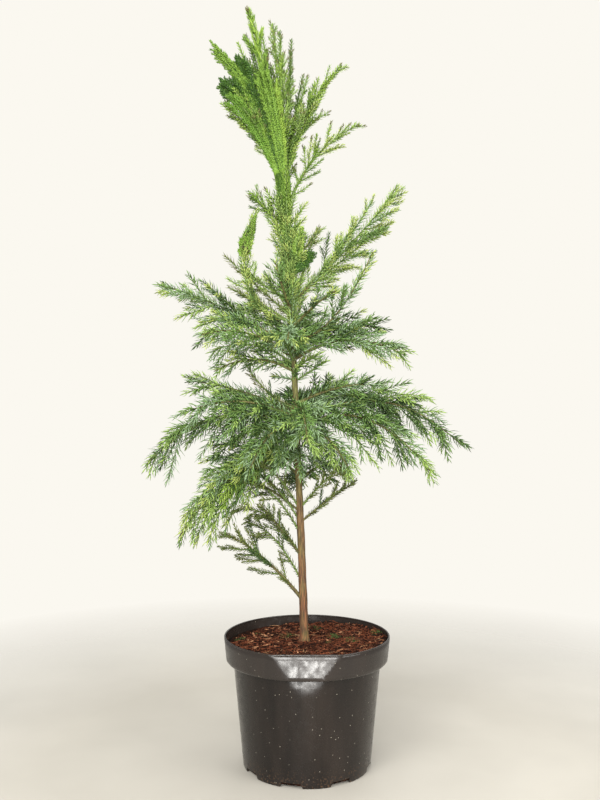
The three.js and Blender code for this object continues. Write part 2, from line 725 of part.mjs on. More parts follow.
function makeMass({ row, stem, twigs, seed }, trunkSpace) {
  const spray = new SprayMesh(row.azimuth, seededRandom(seed + 500));
  const startT = isLimb(row) ? row.bare + CLEARANCE / stem.getLength() : STEM_START;
  spray.growMass(row, stem, startT, twigs);
  let mass = spray.solid();
  if (row.name === 'crest') {
    mass = mass.add(crestSolid(row, stem));
  }
  if (!isLimb(row)) {
    mass = largestBody(mass.subtract(trunkSpace));
  }
  return namedMesh(`mass_${row.name}`, toGeometry(mass), needleFinish(row));
}

function makeBough({ row, stem }, trunkSpace) {
  const limb = largestBody(limbSolid(row, stem).subtract(trunkSpace));
  return namedMesh(`bough_${row.name}`, toGeometry(limb), COLOURS.bough);
}

const group = new THREE.Group();
group.add(makePot());
group.add(makeSoil());
group.add(namedMesh('trunk', toGeometry(trunkSolid(0)), COLOURS.bark));

const trunkSpace = trunkSolid(CLEARANCE);
const plans = planPlant();
plans.filter(({ row }) => isLimb(row)).forEach((plan) => group.add(makeBough(plan, trunkSpace)));
plans.forEach((plan) => group.add(makeMass(plan, trunkSpace)));

export default group;
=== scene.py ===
"""A young cryptomeria with crested growth in its nursery pot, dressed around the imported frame.

Metres, +Z up, in the frame's own place. Sizes written in the classes are millimetres, as in the frame's
source, and are turned into metres when a mesh is made. Azimuths are degrees round the pot: 0 is +X and 90 is
the back.
"""

import logging
import math
from collections import defaultdict
from collections.abc import Callable, Iterator
from dataclasses import dataclass, replace
from enum import Enum

import bpy
import numpy as np
from mathutils import Euler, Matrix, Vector, noise


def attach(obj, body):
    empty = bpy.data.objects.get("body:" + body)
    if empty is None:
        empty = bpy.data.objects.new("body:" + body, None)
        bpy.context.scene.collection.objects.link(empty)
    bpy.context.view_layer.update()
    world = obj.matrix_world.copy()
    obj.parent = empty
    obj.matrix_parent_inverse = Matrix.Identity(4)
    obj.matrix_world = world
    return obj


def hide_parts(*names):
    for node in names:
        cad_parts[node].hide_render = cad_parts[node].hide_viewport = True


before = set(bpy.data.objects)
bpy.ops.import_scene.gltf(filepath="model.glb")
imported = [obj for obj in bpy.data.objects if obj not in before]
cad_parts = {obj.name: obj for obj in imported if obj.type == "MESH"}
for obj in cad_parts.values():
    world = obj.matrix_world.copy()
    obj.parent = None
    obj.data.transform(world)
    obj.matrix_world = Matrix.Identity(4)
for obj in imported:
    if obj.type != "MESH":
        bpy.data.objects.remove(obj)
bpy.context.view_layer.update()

log = logging.getLogger("cryptomeria")

Material = bpy.types.Material
Piece = bpy.types.Object
Socket = bpy.types.NodeSocket
Stream = np.random.Generator
Mover = Callable[[np.ndarray], np.ndarray]  # carries places over to others

MM = 0.001
BODY = "root"
GOLDEN_TURN = 137.5  # degrees
ROUGH_ANGLE = 60  # rough skins are smooth where their faces meet at less than this, in degrees


# ---------------------------------------------------------------- small helpers


def lerp(low: float, high: float, share: float) -> float:
    """Return the value a share of the way from low to high."""
    return (1 - share) * low + share * high


def clamp(value: float, low: float, high: float) -> float:
    """Return the value held between low and high."""
    return max(low, min(high, value))


def linear(*display: int) -> tuple[float, ...]:
    """Return the scene-linear colour, with full alpha, of a display colour from 0 to 255."""
    shares = [channel / 255 for channel in display]
    return (*(s / 12.92 if s <= 0.04045 else ((s + 0.055) / 1.055) ** 2.4 for s in shares), 1.0)


def unit(vectors: np.ndarray) -> np.ndarray:
    """Return vectors made one long, along their last axis."""
    return vectors / np.linalg.norm(vectors, axis=-1, keepdims=True)


def compass(azimuth: float) -> np.ndarray:
    """Return the level direction of an azimuth in degrees."""
    return np.array([math.cos(math.radians(azimuth)), math.sin(math.radians(azimuth)), 0.0])


def azimuth_of(x: float, y: float) -> float:
    """Return the azimuth at which a place lies."""
    return math.degrees(math.atan2(y, x)) % 360


def dress(piece: Piece, material: Material, slot: str, nodes: list[str]) -> Piece:
    """Give a piece its material and its place in the frame.

    Args:
        piece: The finished piece.
        material: Its finish.
        slot: A material slot's name; not used.
        nodes: The CAD nodes that it stands for.

    Returns:
        The same piece.
    """
    piece.data.materials.clear()
    piece.data.materials.append(material)
    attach(piece, BODY)
    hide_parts(*nodes)
    triangles = sum(len(face.vertices) - 2 for face in piece.data.polygons)
    log.info("%s: %d triangles", piece.name, triangles)
    return piece


def pick(piece: Piece | None = None) -> None:
    """Deselect all, so that an operator acts on one piece, or on the next one that is added.

    Args:
        piece: The piece to select, if it is there already.
    """
    bpy.ops.object.select_all(action="DESELECT")
    if piece:
        piece.select_set(True)
        bpy.context.view_layer.objects.active = piece


def settle(piece: Piece, name: str) -> Piece:
    """Name a modelled piece, and move its place into its mesh.

    Args:
        piece: The piece, as the operators left it.
        name: Its name.

    Returns:
        The piece, at the origin, unturned and unscaled.
    """
    pick(piece)
    piece.name = piece.data.name = name
    bpy.ops.object.transform_apply(location=True, rotation=True, scale=True)
    return piece


def face_outward(piece: Piece) -> None:
    """Turn all of a piece's faces outward.

    Args:
        piece: The piece.
    """
    pick(piece)
    bpy.ops.object.mode_set(mode="EDIT")
    bpy.ops.mesh.select_all(action="SELECT")
    bpy.ops.mesh.normals_make_consistent(inside=False)
    bpy.ops.object.mode_set(mode="OBJECT")


def smooth(piece: Piece, angle: float) -> None:
    """Shade a piece smooth where its faces meet at less than an angle in degrees."""
    pick(piece)
    bpy.ops.object.shade_smooth_by_angle(angle=math.radians(angle))


def draw_rings(name: str, sides: int, rings: list[tuple[float, float, float, float]]) -> Piece:
    """Draw a closed skin: a filled circle, extruded and resized from ring to ring, and filled at its end.

    Args:
        name: The piece's name.
        sides: How many sides it has.
        rings: The place of each ring's middle, and its radius.

    Returns:
        The piece, at the origin, with its faces outward.
    """
    rows = np.array(rings, float)
    middles, radii = rows[:, :3], rows[:, 3]
    pick()
    bpy.ops.mesh.primitive_circle_add(
        vertices=sides, radius=radii[0] * MM, location=Vector(middles[0]) * MM, fill_type="NGON")
    bpy.ops.object.mode_set(mode="EDIT")
    bpy.ops.mesh.select_mode(type="EDGE")
    bpy.ops.mesh.select_all(action="SELECT")
    for middle, shift, share in zip(middles[1:], np.diff(middles, axis=0), radii[1:] / radii[:-1]):
        bpy.ops.mesh.extrude_edges_move(TRANSFORM_OT_translate={"value": Vector(shift) * MM})
        bpy.ops.transform.resize(value=(share, share, 1), center_override=Vector(middle) * MM)
    bpy.ops.mesh.edge_face_add()
    bpy.ops.object.mode_set(mode="OBJECT")
    piece = settle(bpy.context.object, name)
    face_outward(piece)
    return piece


# ---------------------------------------------------------------- finishes


class Wiring:
    """The nodes of one material or world, with short calls to add and join them."""

    def __init__(self, owner: Material | bpy.types.World, shader: str = "Principled BSDF") -> None:
        """Start with the owner's own shader.

        Args:
            owner: The material or world.
            shader: The name of its own shader node.
        """
        owner.use_nodes = True
        self.owner, self.tree = owner, owner.node_tree
        self.shader = self.tree.nodes[shader]

    def join(self, node: bpy.types.Node, inputs: dict[str | int, object]) -> None:
        """Set a node's sockets to values, or join outputs to them.

        Args:
            node: The node.
            inputs: A value or an output for each socket, by the socket's name or number.
        """
        for key, value in inputs.items():
            if isinstance(value, Socket):
                self.tree.links.new(value, node.inputs[key])
            else:
                node.inputs[key].default_value = value

    def set(self, **inputs: object) -> None:
        """Set or join the shader's own sockets, named with underscores for spaces."""
        self.join(self.shader, {key.replace("_", " "): value for key, value in inputs.items()})

    def add(self, kind: str, outlet: str | int, inputs: dict[str | int, object] | None = None,
            **settings: str) -> Socket:
        """Add a node.

        Args:
            kind: Its type, without the prefix that all have.
            outlet: The output wanted.
            inputs: Values for its sockets, or outputs to join to them.
            **settings: Its own settings.

        Returns:
            The output.
        """
        node = self.tree.nodes.new(f"ShaderNode{kind}")
        for key, value in settings.items():
            setattr(node, key, value)
        self.join(node, inputs or {})
        return node.outputs[outlet]

    def place(self) -> Socket:
        """Return the piece's own coordinates."""
        return self.add("TexCoord", "Object")

    def height(self) -> Socket:
        """Return the height of a point in the frame."""
        return self.add("SeparateXYZ", "Z", {"Vector": self.place()})

    def grain(self, size: float, detail: float = 4, stretch: tuple = (1, 1, 1)) -> Socket:
        """Add a noise pattern.

        Args:
            size: Size of its largest features, in millimetres.
            detail: How many finer layers it has.
            stretch: How many times longer it is along each axis.

        Returns:
            The pattern, from 0 to 1.
        """
        scale = tuple(1 / along for along in stretch)
        place = self.add("Mapping", "Vector", {"Vector": self.place(), "Scale": scale})
        return self.add("TexNoise", "Fac", {"Scale": 1 / (size * MM), "Detail": detail, "Vector": place})

    def between(self, source: Socket, low: float, high: float,
                to_low: float = 0.0, to_high: float | Socket = 1.0) -> Socket:
        """Carry a range of values over to another.

        Args:
            source: The values.
            low: Where the range starts.
            high: Where it ends.
            to_low: What its start becomes.
            to_high: What its end becomes.

        Returns:
            The new values, held inside the new range.
        """
        return self.add("MapRange", "Result", {
            "Value": source, "From Min": low, "From Max": high, "To Min": to_low, "To Max": to_high})

    def ramp(self, source: Socket, stops: list[tuple[float, tuple]]) -> Socket:
        """Turn values into colours.

        Args:
            source: The values.
            stops: A place and a linear colour for each stop.

        Returns:
            The colour output.
        """
        colour = self.add("ValToRGB", "Color", {"Fac": source})
        points = colour.node.color_ramp.elements
        while len(points) < len(stops):
            points.new(0.5)
        for point, (place, tone) in zip(points, stops):
            point.position, point.color = place, tone
        return colour

    def mix(self, share: Socket, first: Socket | tuple, second: Socket | tuple) -> Socket:
        """Blend two colours.

        Args:
            share: How much of the second shows.
            first: A colour or a colour output.
            second: Another.

        Returns:
            The blended colour.
        """
        return self.add("Mix", 2, {0: share, 6: first, 7: second}, data_type="RGBA")

    def relief(self, source: Socket, depth: float, strength: float = 1.0) -> None:
        """Raise the surface by a pattern.

        Args:
            source: The pattern.
            depth: Height of its full relief, in millimetres.
            strength: How strongly it shows.
        """
        self.set(Normal=self.add(
            "Bump", "Normal", {"Height": source, "Distance": depth * MM, "Strength": strength}))

    def give_way(self, share: Socket, other: Socket, output: str) -> None:
        """Let the shader give way to another.

        Args:
            share: How much of the other shows.
            other: The other shader.
            output: Name of the output node.
        """
        mixed = self.add("MixShader", "Shader", {0: share, 1: self.shader.outputs[0], 2: other})
        self.join(self.tree.nodes[output], {"Surface": mixed})


@dataclass(frozen=True)
class PotPlastic:
    """Glossy black moulded plastic, with draw lines, pale dust flecks and dirt near its foot, lighter
    streaks that are partly wear and partly painted sheen, and a painted sheen on its rim band.
    """

    black: tuple = linear(16, 11, 9)
    # lighter plastic of the long vertical streaks: partly wear, partly painted sheen
    worn: tuple = linear(36, 29, 25)
    # lighter tone painted on the rim band as sheen
    rim: tuple = linear(66, 60, 56)
    fleck: tuple = linear(196, 188, 172)
    dirt: tuple = linear(88, 66, 48)
    fleck_gap: float = 6.5
    dirt_height: float = 22.0
    rim_height: float = 120.0

    def make(self) -> Material:
        """Make the finish.

        Returns:
            The material.
        """
        wiring = Wiring(bpy.data.materials.new("pot_plastic"))
        low, high = (self.rim_height - 1) * MM, (self.rim_height + 1) * MM
        foot = wiring.between(wiring.height(), 0.0, self.dirt_height * MM, 0.85, 0.0)
        pitch = 1 / (self.fleck_gap * MM)
        cells = wiring.add("TexVoronoi", "Distance", {"Scale": pitch, "Vector": wiring.place()})
        colour = self.black
        for share, other in (
            # long vertical streaks of lighter plastic: partly wear, partly painted sheen
            (wiring.between(wiring.grain(26, 4, (1, 1, 5)), 0.35, 0.7, 0.0, 0.9), self.worn),
            # painted sheen: the rim band is made lighter from rim_height up
            (wiring.between(wiring.height(), low, high, 0.0, 0.3), self.rim),
            (wiring.between(wiring.grain(2.2, 5), 0.56, 0.66, 0.0, foot), self.dirt),
            (wiring.between(cells, 0.03, 0.07, 0.9, 0.0), self.fleck),
        ):
            colour = wiring.mix(share, colour, other)
        gloss = wiring.between(wiring.grain(7, 6), 0.36, 0.68, 0.16, 0.34)
        wiring.set(Base_Color=colour, Roughness=gloss, IOR=1.43)
        wiring.relief(wiring.grain(1.6, 3, (1, 1, 12)), 0.05, 0.5)
        return wiring.owner


@dataclass(frozen=True)
class Bark:
    """Fibrous bark: reddish brown at the foot, turning olive higher up."""

    name: str
    foot: tuple = linear(124, 74, 46)
    middle: tuple = linear(116, 88, 52)
    upper: tuple = linear(112, 114, 58)
    crack: tuple = linear(58, 40, 28)
    low: float = 140.0
    high: float = 520.0

    def make(self) -> Material:
        """Make the finish.

        Returns:
            The material.
        """
        wiring = Wiring(bpy.data.materials.new(self.name))
        rise = wiring.between(wiring.height(), self.low * MM, self.high * MM)
        strands = wiring.grain(1.6, 6, (1, 1, 9))
        patches = wiring.between(wiring.grain(14, 3, (1, 1, 3)), 0.5, 0.75, 0.0, 0.5)
        colour = wiring.ramp(rise, [(0.0, self.foot), (0.35, self.middle), (0.8, self.upper)])
        colour = wiring.mix(wiring.between(strands, 0.42, 0.6, 0.85, 0.0), colour, self.crack)
        wiring.set(Base_Color=wiring.mix(patches, colour, self.upper),
                   Roughness=wiring.between(strands, 0.3, 0.7, 0.92, 0.68))
        wiring.relief(strands, 0.6)
        return wiring.owner


@dataclass(frozen=True)
class LooseMatter:
    """A matt natural finish of two tones, for soil, fibres, chips and moss."""

    name: str
    dark: tuple
    light: tuple
    size: float = 3.0
    roughness: float = 0.9

    def make(self) -> Material:
        """Make the finish.

        Returns:
            The material.
        """
        wiring = Wiring(bpy.data.materials.new(self.name))
        colour = wiring.ramp(wiring.grain(self.size, 5), [(0.38, self.dark), (0.66, self.light)])
        wiring.set(Base_Color=colour, Roughness=self.roughness, Specular_IOR_Level=0.15)
        wiring.relief(wiring.grain(self.size / 3), 0.4)
        return wiring.owner


@dataclass(frozen=True)
class Leafage:
    """Living green skin: a plain colour of its own with a soft, slightly waxy gloss."""

    name: str
    colour: tuple
    roughness: float = 0.5

    def make(self) -> Material:
        """Make the finish.

        Returns:
            The material.
        """
        wiring = Wiring(bpy.data.materials.new(self.name))
        wax = wiring.between(wiring.grain(2.5, 2), 0.3, 0.7, self.roughness - 0.08, self.roughness + 0.1)
        wiring.set(Base_Color=self.colour, Roughness=wax, IOR=1.45)
        return wiring.owner


class Tint(Enum):
    """The greens that sprays of needles come in."""

    TIP = linear(172, 188, 100)
    LIME = linear(148, 178, 72)
    BRIGHT = linear(118, 152, 55)
    # also painted shade inside the top's sprays, in the sheaf and between the crest's ribbons
    BRIGHT_DEEP = linear(70, 100, 28)
    FRESH = linear(150, 178, 92)
    GREEN = linear(110, 144, 74)
    BLUE_GREEN = linear(138, 164, 124)
    DEEP = linear(56, 82, 36)
    CREST = linear(104, 142, 48)
    # also painted shade in the crest's folded heads and between its ribbons
    CREST_DEEP = linear(58, 92, 26)
    OLIVE = linear(116, 122, 64)
    OLIVE_DEEP = linear(78, 86, 42)
    BRONZE = linear(108, 106, 58)


class StemTone(Enum):
    """The colours of twigs under their needles."""

    GREEN = linear(98, 120, 58)
    WOODY = linear(118, 96, 54)


# ---------------------------------------------------------------- studio


@dataclass
class Studio:
    """Camera, soft light and a pale floor."""

    eye: tuple = (-8, -980, 400)
    lens: float = 38.25
    shift: float = 0.01875  # how far the view is raised, as a share of its longer side
    backdrop: tuple = linear(251, 248, 240)
    ambience: tuple = linear(244, 242, 236)
    ambient_strength: float = 0.47
    lamp_colour: tuple = (1.0, 0.985, 0.95)
    lamps: tuple = (  # name, place, side, watts, aim
        ("key", (-800, -1400, 1400), 900, 30, (0, 0, 380)),
        ("front", (-120, -1750, 820), 620, 24, (0, 0, 300)),
        ("fill", (1300, -900, 900), 1000, 18, (0, 0, 350)),
        ("glint", (-20, -1480, 125), 230, 6.5, (0, 0, 120)),
        ("top", (100, 300, 1900), 1200, 12, (0, 0, 400)),
        ("back", (500, 1700, 1300), 1100, 6, (0, 0, 400)),
    )
    floor_radius: float = 2600
    floor_fade: tuple = (315, 900)  # how far out it starts to fade, and where it is gone
    floor_tones: tuple = (linear(180, 176, 167), linear(190, 186, 177))

    def build(self) -> None:
        """Make the camera, world, lamps and floor."""
        self.place_camera()
        self.light_world()
        self.hang_lamps()
        self.lay_floor()

    def place_camera(self) -> None:
        """Stand the camera in front of the plant, level, with a small shift for the framing."""
        bpy.ops.object.camera_add(location=Vector(self.eye) * MM, rotation=(math.radians(90), 0, 0))
        camera = bpy.context.object
        camera.name = "camera"
        camera.data.lens, camera.data.shift_y = self.lens, self.shift
        bpy.context.scene.camera = camera

    def light_world(self) -> None:
        """Surround the plant with even light, and show a near-white backdrop."""
        scene = bpy.context.scene
        scene.view_settings.view_transform = "Standard"
        scene.world = bpy.data.worlds.new("studio")
        wiring = Wiring(scene.world, "Background")
        wiring.set(Color=self.ambience, Strength=self.ambient_strength)
        seen = wiring.add("Background", "Background", {"Color": self.backdrop})
        wiring.give_way(wiring.add("LightPath", "Is Camera Ray"), seen, "World Output")

    def hang_lamps(self) -> None:
        """Hang a large soft key light, weaker ones round the plant, and a small one for the dent's glint."""
        for name, place, side, watts, aim in self.lamps:
            pick()
            bpy.ops.object.light_add(type="AREA", location=Vector(place) * MM)
            lamp = bpy.context.object
            lamp.name = name
            lamp.data.size, lamp.data.energy, lamp.data.color = side * MM, watts, self.lamp_colour
            lamp.rotation_euler = (Vector(aim) - Vector(place)).to_track_quat("-Z", "Y").to_euler()

    def lay_floor(self) -> None:
        """Lay a pale round floor that fades into the backdrop."""
        pick()
        bpy.ops.mesh.primitive_circle_add(vertices=96, radius=self.floor_radius * MM, fill_type="NGON")
        floor = settle(bpy.context.object, "floor")
        wiring = Wiring(bpy.data.materials.new("floor_paint"))
        wiring.set(Roughness=0.6,
                   Base_Color=wiring.ramp(wiring.grain(180, 3), list(zip((0.3, 0.7), self.floor_tones))))
        away = wiring.add("VectorMath", "Value", {0: wiring.place()}, operation="LENGTH")
        near, far = self.floor_fade
        fade = wiring.between(away, near * MM, far * MM)
        wiring.give_way(fade, wiring.add("BsdfTransparent", "BSDF"), "Material Output")
        floor.data.materials.append(wiring.owner)


# ---------------------------------------------------------------- pot


@dataclass
class NurseryPot:
    """The tapered pot: wall, rim band, rolled edge, drain notches, and a dent pressed into its front."""

    height: float = 148.0
    shoulder: float = 120.0  # where the body meets the rim band
    rim_radius: float = 95.0
    rim_foot_radius: float = 92.5
    body_top_radius: float = 84.5
    foot_radius: float = 73.0
    wall: float = 1.8
    floor: float = 2.5
    roll: float = 1.0  # radius of the rolled edge
    sides: int = 192
    notch_azimuths: tuple = (256, 212, 168, 124, 80, 36, 344, 300)
    notch_wide: float = 27.0
    notch_narrow: float = 21.0
    notch_high: float = 6.0
    notch_deep: float = 11.0
    dent_azimuth: float = 269.0
    dent_reach: float = 40.0  # degrees to each side of its middle
    dent_heights: tuple = (104, 107, 110, 114, 118.8, 120.4, 123.5, 128, 134, 140, 148)
    dent_depths: tuple = (0, 0.7, 1.5, 2.5, 3.7, 1.6, 2.3, 3.35, 4.75, 6.15, 8)
    crease_azimuth: float = 262.0
    crease_width: float = 3.0  # degrees to each side of its middle
    crease_depth: float = 0.32
    edge_angle: float = 38.0  # edges sharper than this stay sharp

    def body_radius(self, height: float) -> float:
        """Return the radius of the wall's outer face below the rim band."""
        return lerp(self.foot_radius, self.body_top_radius, height / self.shoulder)

    def along_rim(self, height: float) -> float:
        """Return how far up the rim band a height is, as a share."""
        return (height - self.shoulder) / (self.height - self.shoulder)

    def dent(self, azimuth: float, height: float) -> float:
        """Return how far the wall is pressed flat at a place.

        Args:
            azimuth: Degrees round the pot.
            height: Height in millimetres.

        Returns:
            The depth of the dent there, in millimetres.
        """
        off_middle = (azimuth - self.dent_azimuth + 180) % 360 - 180
        if abs(off_middle) > self.dent_reach:
            return 0.0
        if height < self.shoulder:
            radius = self.body_radius(height)
        else:
            radius = lerp(self.rim_foot_radius, self.rim_radius, self.along_rim(height))
        depth = float(np.interp(height, self.dent_heights, self.dent_depths))
        pressed = max(0.0, radius - (radius - depth) / math.cos(math.radians(off_middle)))
        groove = max(0.0, 1 - abs(azimuth - self.crease_azimuth) / self.crease_width)
        return pressed + self.crease_depth * groove * min(1.0, pressed)

    def profile(self) -> list[tuple[float, float]]:
        """Follow the section from the floor's middle outside to its middle inside.

        Returns:
            Radius and height at each corner.
        """
        foot, rim_foot, rim, roll = self.foot_radius, self.rim_foot_radius, self.rim_radius, self.roll
        shoulder, top = self.shoulder, self.height
        lip = [
            (rim - roll + roll * math.cos(turn), top - roll + roll * math.sin(turn))
            for turn in np.radians(range(-60, 241, 30))
        ]
        band = [
            (lerp(rim_foot, rim, share), lerp(shoulder, top - 3 * roll, share))
            for share in (0.08, 0.2, 0.36, 0.52, 0.68, 0.84, 1.0)
        ]
        rising = [(self.body_radius(height), height) for height in np.linspace(6, shoulder - 1, 20)]
        falling = [
            (self.body_radius(height) - self.wall, height)
            for height in (shoulder, *self.dent_heights[4::-1], 60, 30, 4)
        ]
        return [
            (foot - 6, 0.0), (foot - 1.6, 0.0), (foot - 0.4, 0.6), (self.body_radius(2.4), 2.4), *rising,
            (self.body_radius(shoulder) + 1.2, shoulder - 0.6), (rim_foot - 3.2, shoulder - 0.1),
            (rim_foot - 1.0, shoulder + 0.5), *band, *lip,
            (rim_foot - self.wall, shoulder + 3), *falling, (foot - 6, self.floor),
        ]

    def build(self) -> None:
        """Model the pot, press the dent into it, cut its notches and dress it."""
        rings = [(0, 0, height, radius) for radius, height in self.profile()]
        pot = draw_rings("nursery_pot", self.sides, rings)
        for vertex in pot.data.vertices:
            x, y, z = vertex.co / MM
            share = 1 - self.dent(azimuth_of(x, y), z) / math.hypot(x, y)
            vertex.co.x *= share
            vertex.co.y *= share
        for azimuth in self.notch_azimuths:
            self.cut_notch(pot, azimuth)
        smooth(pot, self.edge_angle)
        dress(pot, PotPlastic().make(), "pot_plastic", ["pot"])

    def cut_notch(self, pot: Piece, azimuth: float) -> None:
        """Cut one drain notch through the corner of wall and floor.

        Args:
            pot: The pot.
            azimuth: Where the notch lies.
        """
        pick()
        deep, tall = self.notch_deep + 6, self.notch_high + 2
        middle = Vector((self.foot_radius - self.notch_deep + deep / 2, 0, tall / 2 - 2))
        bpy.ops.mesh.primitive_cube_add(size=1, location=middle * MM)
        cutter = bpy.context.object
        cutter.scale = Vector((deep, self.notch_wide, tall)) * MM
        settle(cutter, "cutter")
        for vertex in cutter.data.vertices:
            if vertex.co.z > 0:
                vertex.co.y *= self.notch_narrow / self.notch_wide
        cutter.rotation_euler.z = math.radians(azimuth)
        pick(pot)
        modifier = pot.modifiers.new("notch", "BOOLEAN")
        modifier.object, modifier.operation, modifier.solver = cutter, "DIFFERENCE", "EXACT"
        bpy.ops.object.modifier_apply(modifier=modifier.name)
        bpy.data.objects.remove(cutter)


# ---------------------------------------------------------------- lines and skins


def run_length(points: np.ndarray) -> float:
    """Return the length of a run of straight pieces through points."""
    return float(np.linalg.norm(np.diff(points, axis=0), axis=1).sum())


class Bend:
    """A quadratic curve through space in millimetres: the line of a stem, twig or fibre."""

    def __init__(self, start: np.ndarray, middle: np.ndarray, end: np.ndarray) -> None:
        """Keep the curve's start, its bend and its end."""
        self.start, self.middle, self.end = (np.asarray(point, float) for point in (start, middle, end))

    def points(self, at: np.ndarray) -> np.ndarray:
        """Return the places at shares from 0 to 1."""
        t = np.asarray(at, float)[..., None]
        return (1 - t) ** 2 * self.start + 2 * t * (1 - t) * self.middle + t * t * self.end

    def tangents(self, at: np.ndarray) -> np.ndarray:
        """Return the directions at shares from 0 to 1."""
        t = np.asarray(at, float)[..., None]
        return unit((1 - t) * (self.middle - self.start) + t * (self.end - self.middle))

    def length(self) -> float:
        """Return the curve's length."""
        return run_length(self.points(np.linspace(0, 1, 201)))

    def shortened(self, share: float) -> "Bend":
        """Return the curve drawn in towards its start."""
        return Bend(self.start, lerp(self.start, self.middle, share), lerp(self.start, self.end, share))


def across(tangents: np.ndarray, azimuth: float) -> tuple[np.ndarray, np.ndarray]:
    """Find two directions across a line, by the frame's own rule.

    Args:
        tangents: Directions of the line.
        azimuth: The azimuth of the bough that it belongs to.

    Returns:
        A level direction to the side, and one square to both.
    """
    level = compass(azimuth + 90)
    level = unit(level - tangents * np.sum(tangents * level, axis=-1, keepdims=True))
    return level, unit(np.cross(tangents, level))


def side_line(line: Bend, t: float, azimuth: float, turn: float, lean: float, length: float,
              droop: float) -> Bend:
    """Find the line of a twig, by the frame's own rule.

    Args:
        line: The line that it grows from.
        t: Share of that line at which it leaves.
        azimuth: The azimuth of its bough.
        turn: Degrees round the line, from its level side, to the side that the twig leaves to.
        lean: Degrees between the line and the twig.
        length: The twig's length.
        droop: How far its end droops, against its length.

    Returns:
        The twig's line.
    """
    root, tangent = line.points(t), line.tangents(t)
    level, upper = across(tangent, azimuth)
    turn, lean = math.radians(turn), math.radians(lean)
    side = level * math.cos(turn) + upper * math.sin(turn)
    heading = tangent * math.cos(lean) + side * math.sin(lean)
    tip = root + heading * length + tangent * length * 0.12
    tip[2] -= droop * length * 0.6
    return Bend(root, root + heading * length * 0.5, tip)


class Skins:
    """Closed skins of many small things, gathered into one piece."""

    def __init__(self) -> None:
        """Start with nothing gathered."""
        self.corners: list[np.ndarray] = []
        self.triangles: list[np.ndarray] = []
        self.count = 0

    def add(self, corners: np.ndarray, triangles: np.ndarray) -> None:
        """Gather one more lot of corners and triangles.

        Args:
            corners: Their places in millimetres.
            triangles: Numbers of the lot's corners, three to a row.
        """
        self.corners.append(corners)
        self.triangles.append(triangles + self.count)
        self.count += len(corners)

    def make(self, name: str, material: Material, slot: str, nodes: list[str],
             fit: Mover | None = None) -> Piece:
        """Make the piece and dress it.

        Args:
            name: Its name.
            material: Its finish.
            slot: A material slot's name, handed on to dress.
            nodes: The CAD nodes that it stands for.
            fit: Gives all corners their last place.

        Returns:
            The piece, at the origin.
        """
        corners = np.concatenate(self.corners)
        mesh = bpy.data.meshes.new(name)
        mesh.from_pydata((fit(corners) if fit else corners) * MM, [], np.concatenate(self.triangles))
        mesh.update()
        piece = bpy.data.objects.new(name, mesh)
        bpy.context.scene.collection.objects.link(piece)
        return dress(piece, material, slot, nodes)

    def add_tube(self, bend: Bend, start: float, foot: float, tip: float, sides: int, step: float,
                 azimuth: float = 17.0) -> None:
        """Add a tapering tube along a line, closed at both ends.

        Args:
            bend: The line.
            start: Share of the line at which the tube begins.
            foot: Its radius there.
            tip: Its radius at the line's end.
            sides: How many sides it has.
            step: Length between its rings.
            azimuth: The way that its bough grows.
        """
        rings = max(2, math.ceil(bend.length() * (1 - start) / step) + 1)
        at = np.linspace(start, 1, rings)
        middles, (level, upper) = bend.points(at), across(bend.tangents(at), azimuth)
        turn = 2 * np.pi * np.arange(sides) / sides
        spokes = level[:, None] * np.cos(turn)[None, :, None] + upper[:, None] * np.sin(turn)[None, :, None]
        radii = np.linspace(foot, tip, rings)[:, None, None]
        corners = (middles[:, None] + spokes * radii).reshape(-1, 3)
        ring, side = np.meshgrid(np.arange(rings - 1), np.arange(sides), indexing="ij")
        a = (ring * sides + side).ravel()
        b = (ring * sides + (side + 1) % sides).ravel()
        fan = np.arange(1, sides - 1)
        last = (rings - 1) * sides
        self.add(corners, np.concatenate([
            np.stack([a, b, b + sides], 1), np.stack([a, b + sides, a + sides], 1),
            np.stack([0 * fan, fan + 1, fan], 1), np.stack([0 * fan + last, last + fan, last + fan + 1], 1),
        ]))

    def add_splinter(self, place: np.ndarray, half: np.ndarray, turns: Euler, stream: Stream) -> None:
        """Add one rough flat splinter.

        Args:
            place: Its middle.
            half: Half its length, width and thickness.
            turns: How it is turned.
            stream: Where its unevenness comes from.
        """
        outline = ((-1, -1), (1, -0.7), (1, 0.6), (-0.8, 1))
        signs = np.array([[x, y, z] for z in (-1, 1) for x, y in outline], float)
        corners = (signs * half * stream.uniform(0.7, 1.2, (8, 3))) @ np.array(turns.to_matrix()).T + place
        quads = [(3, 2, 1, 0), (4, 5, 6, 7), (0, 1, 5, 4), (1, 2, 6, 5), (2, 3, 7, 6), (3, 0, 4, 7)]
        self.add(corners, np.array([q[:3] for q in quads] + [(q[0], q[2], q[3]) for q in quads]))

    def add_needles(self, feet: np.ndarray, foot_ways: np.ndarray, tip_ways: np.ndarray,
                    lengths: np.ndarray, widths: np.ndarray) -> None:
        """Add curved, three-sided, pointed needles.

        Args:
            feet: Where each one stands.
            foot_ways: The way that each sets out.
            tip_ways: The way that each ends up.
            lengths: Their lengths.
            widths: Half their widths.
        """
        half, wide = lengths[:, None] * 0.5, widths[:, None]
        elbows = feet + foot_ways * half
        aside = unit(np.cross(foot_ways, tip_ways) + 1e-9)
        inner = unit(np.cross(aside, foot_ways))
        sunk = inner * wide * 0.3
        spokes = [aside * wide, -aside * wide, inner * wide * 0.9]
        rings = [feet + spoke * 0.8 - sunk for spoke in spokes] + [elbows + spoke - sunk for spoke in spokes]
        corners = np.stack([*rings, elbows + tip_ways * half], 1).reshape(-1, 3)
        pattern = np.array([
            [0, 1, 2],
            [0, 3, 1], [3, 4, 1], [1, 4, 2], [4, 5, 2], [2, 5, 0], [5, 3, 0],
            [3, 6, 4], [4, 6, 5], [5, 6, 3],
        ])
        starts = 7 * np.arange(len(feet))[:, None, None]
        self.add(corners, (starts + pattern).reshape(-1, 3))


# ---------------------------------------------------------------- soil


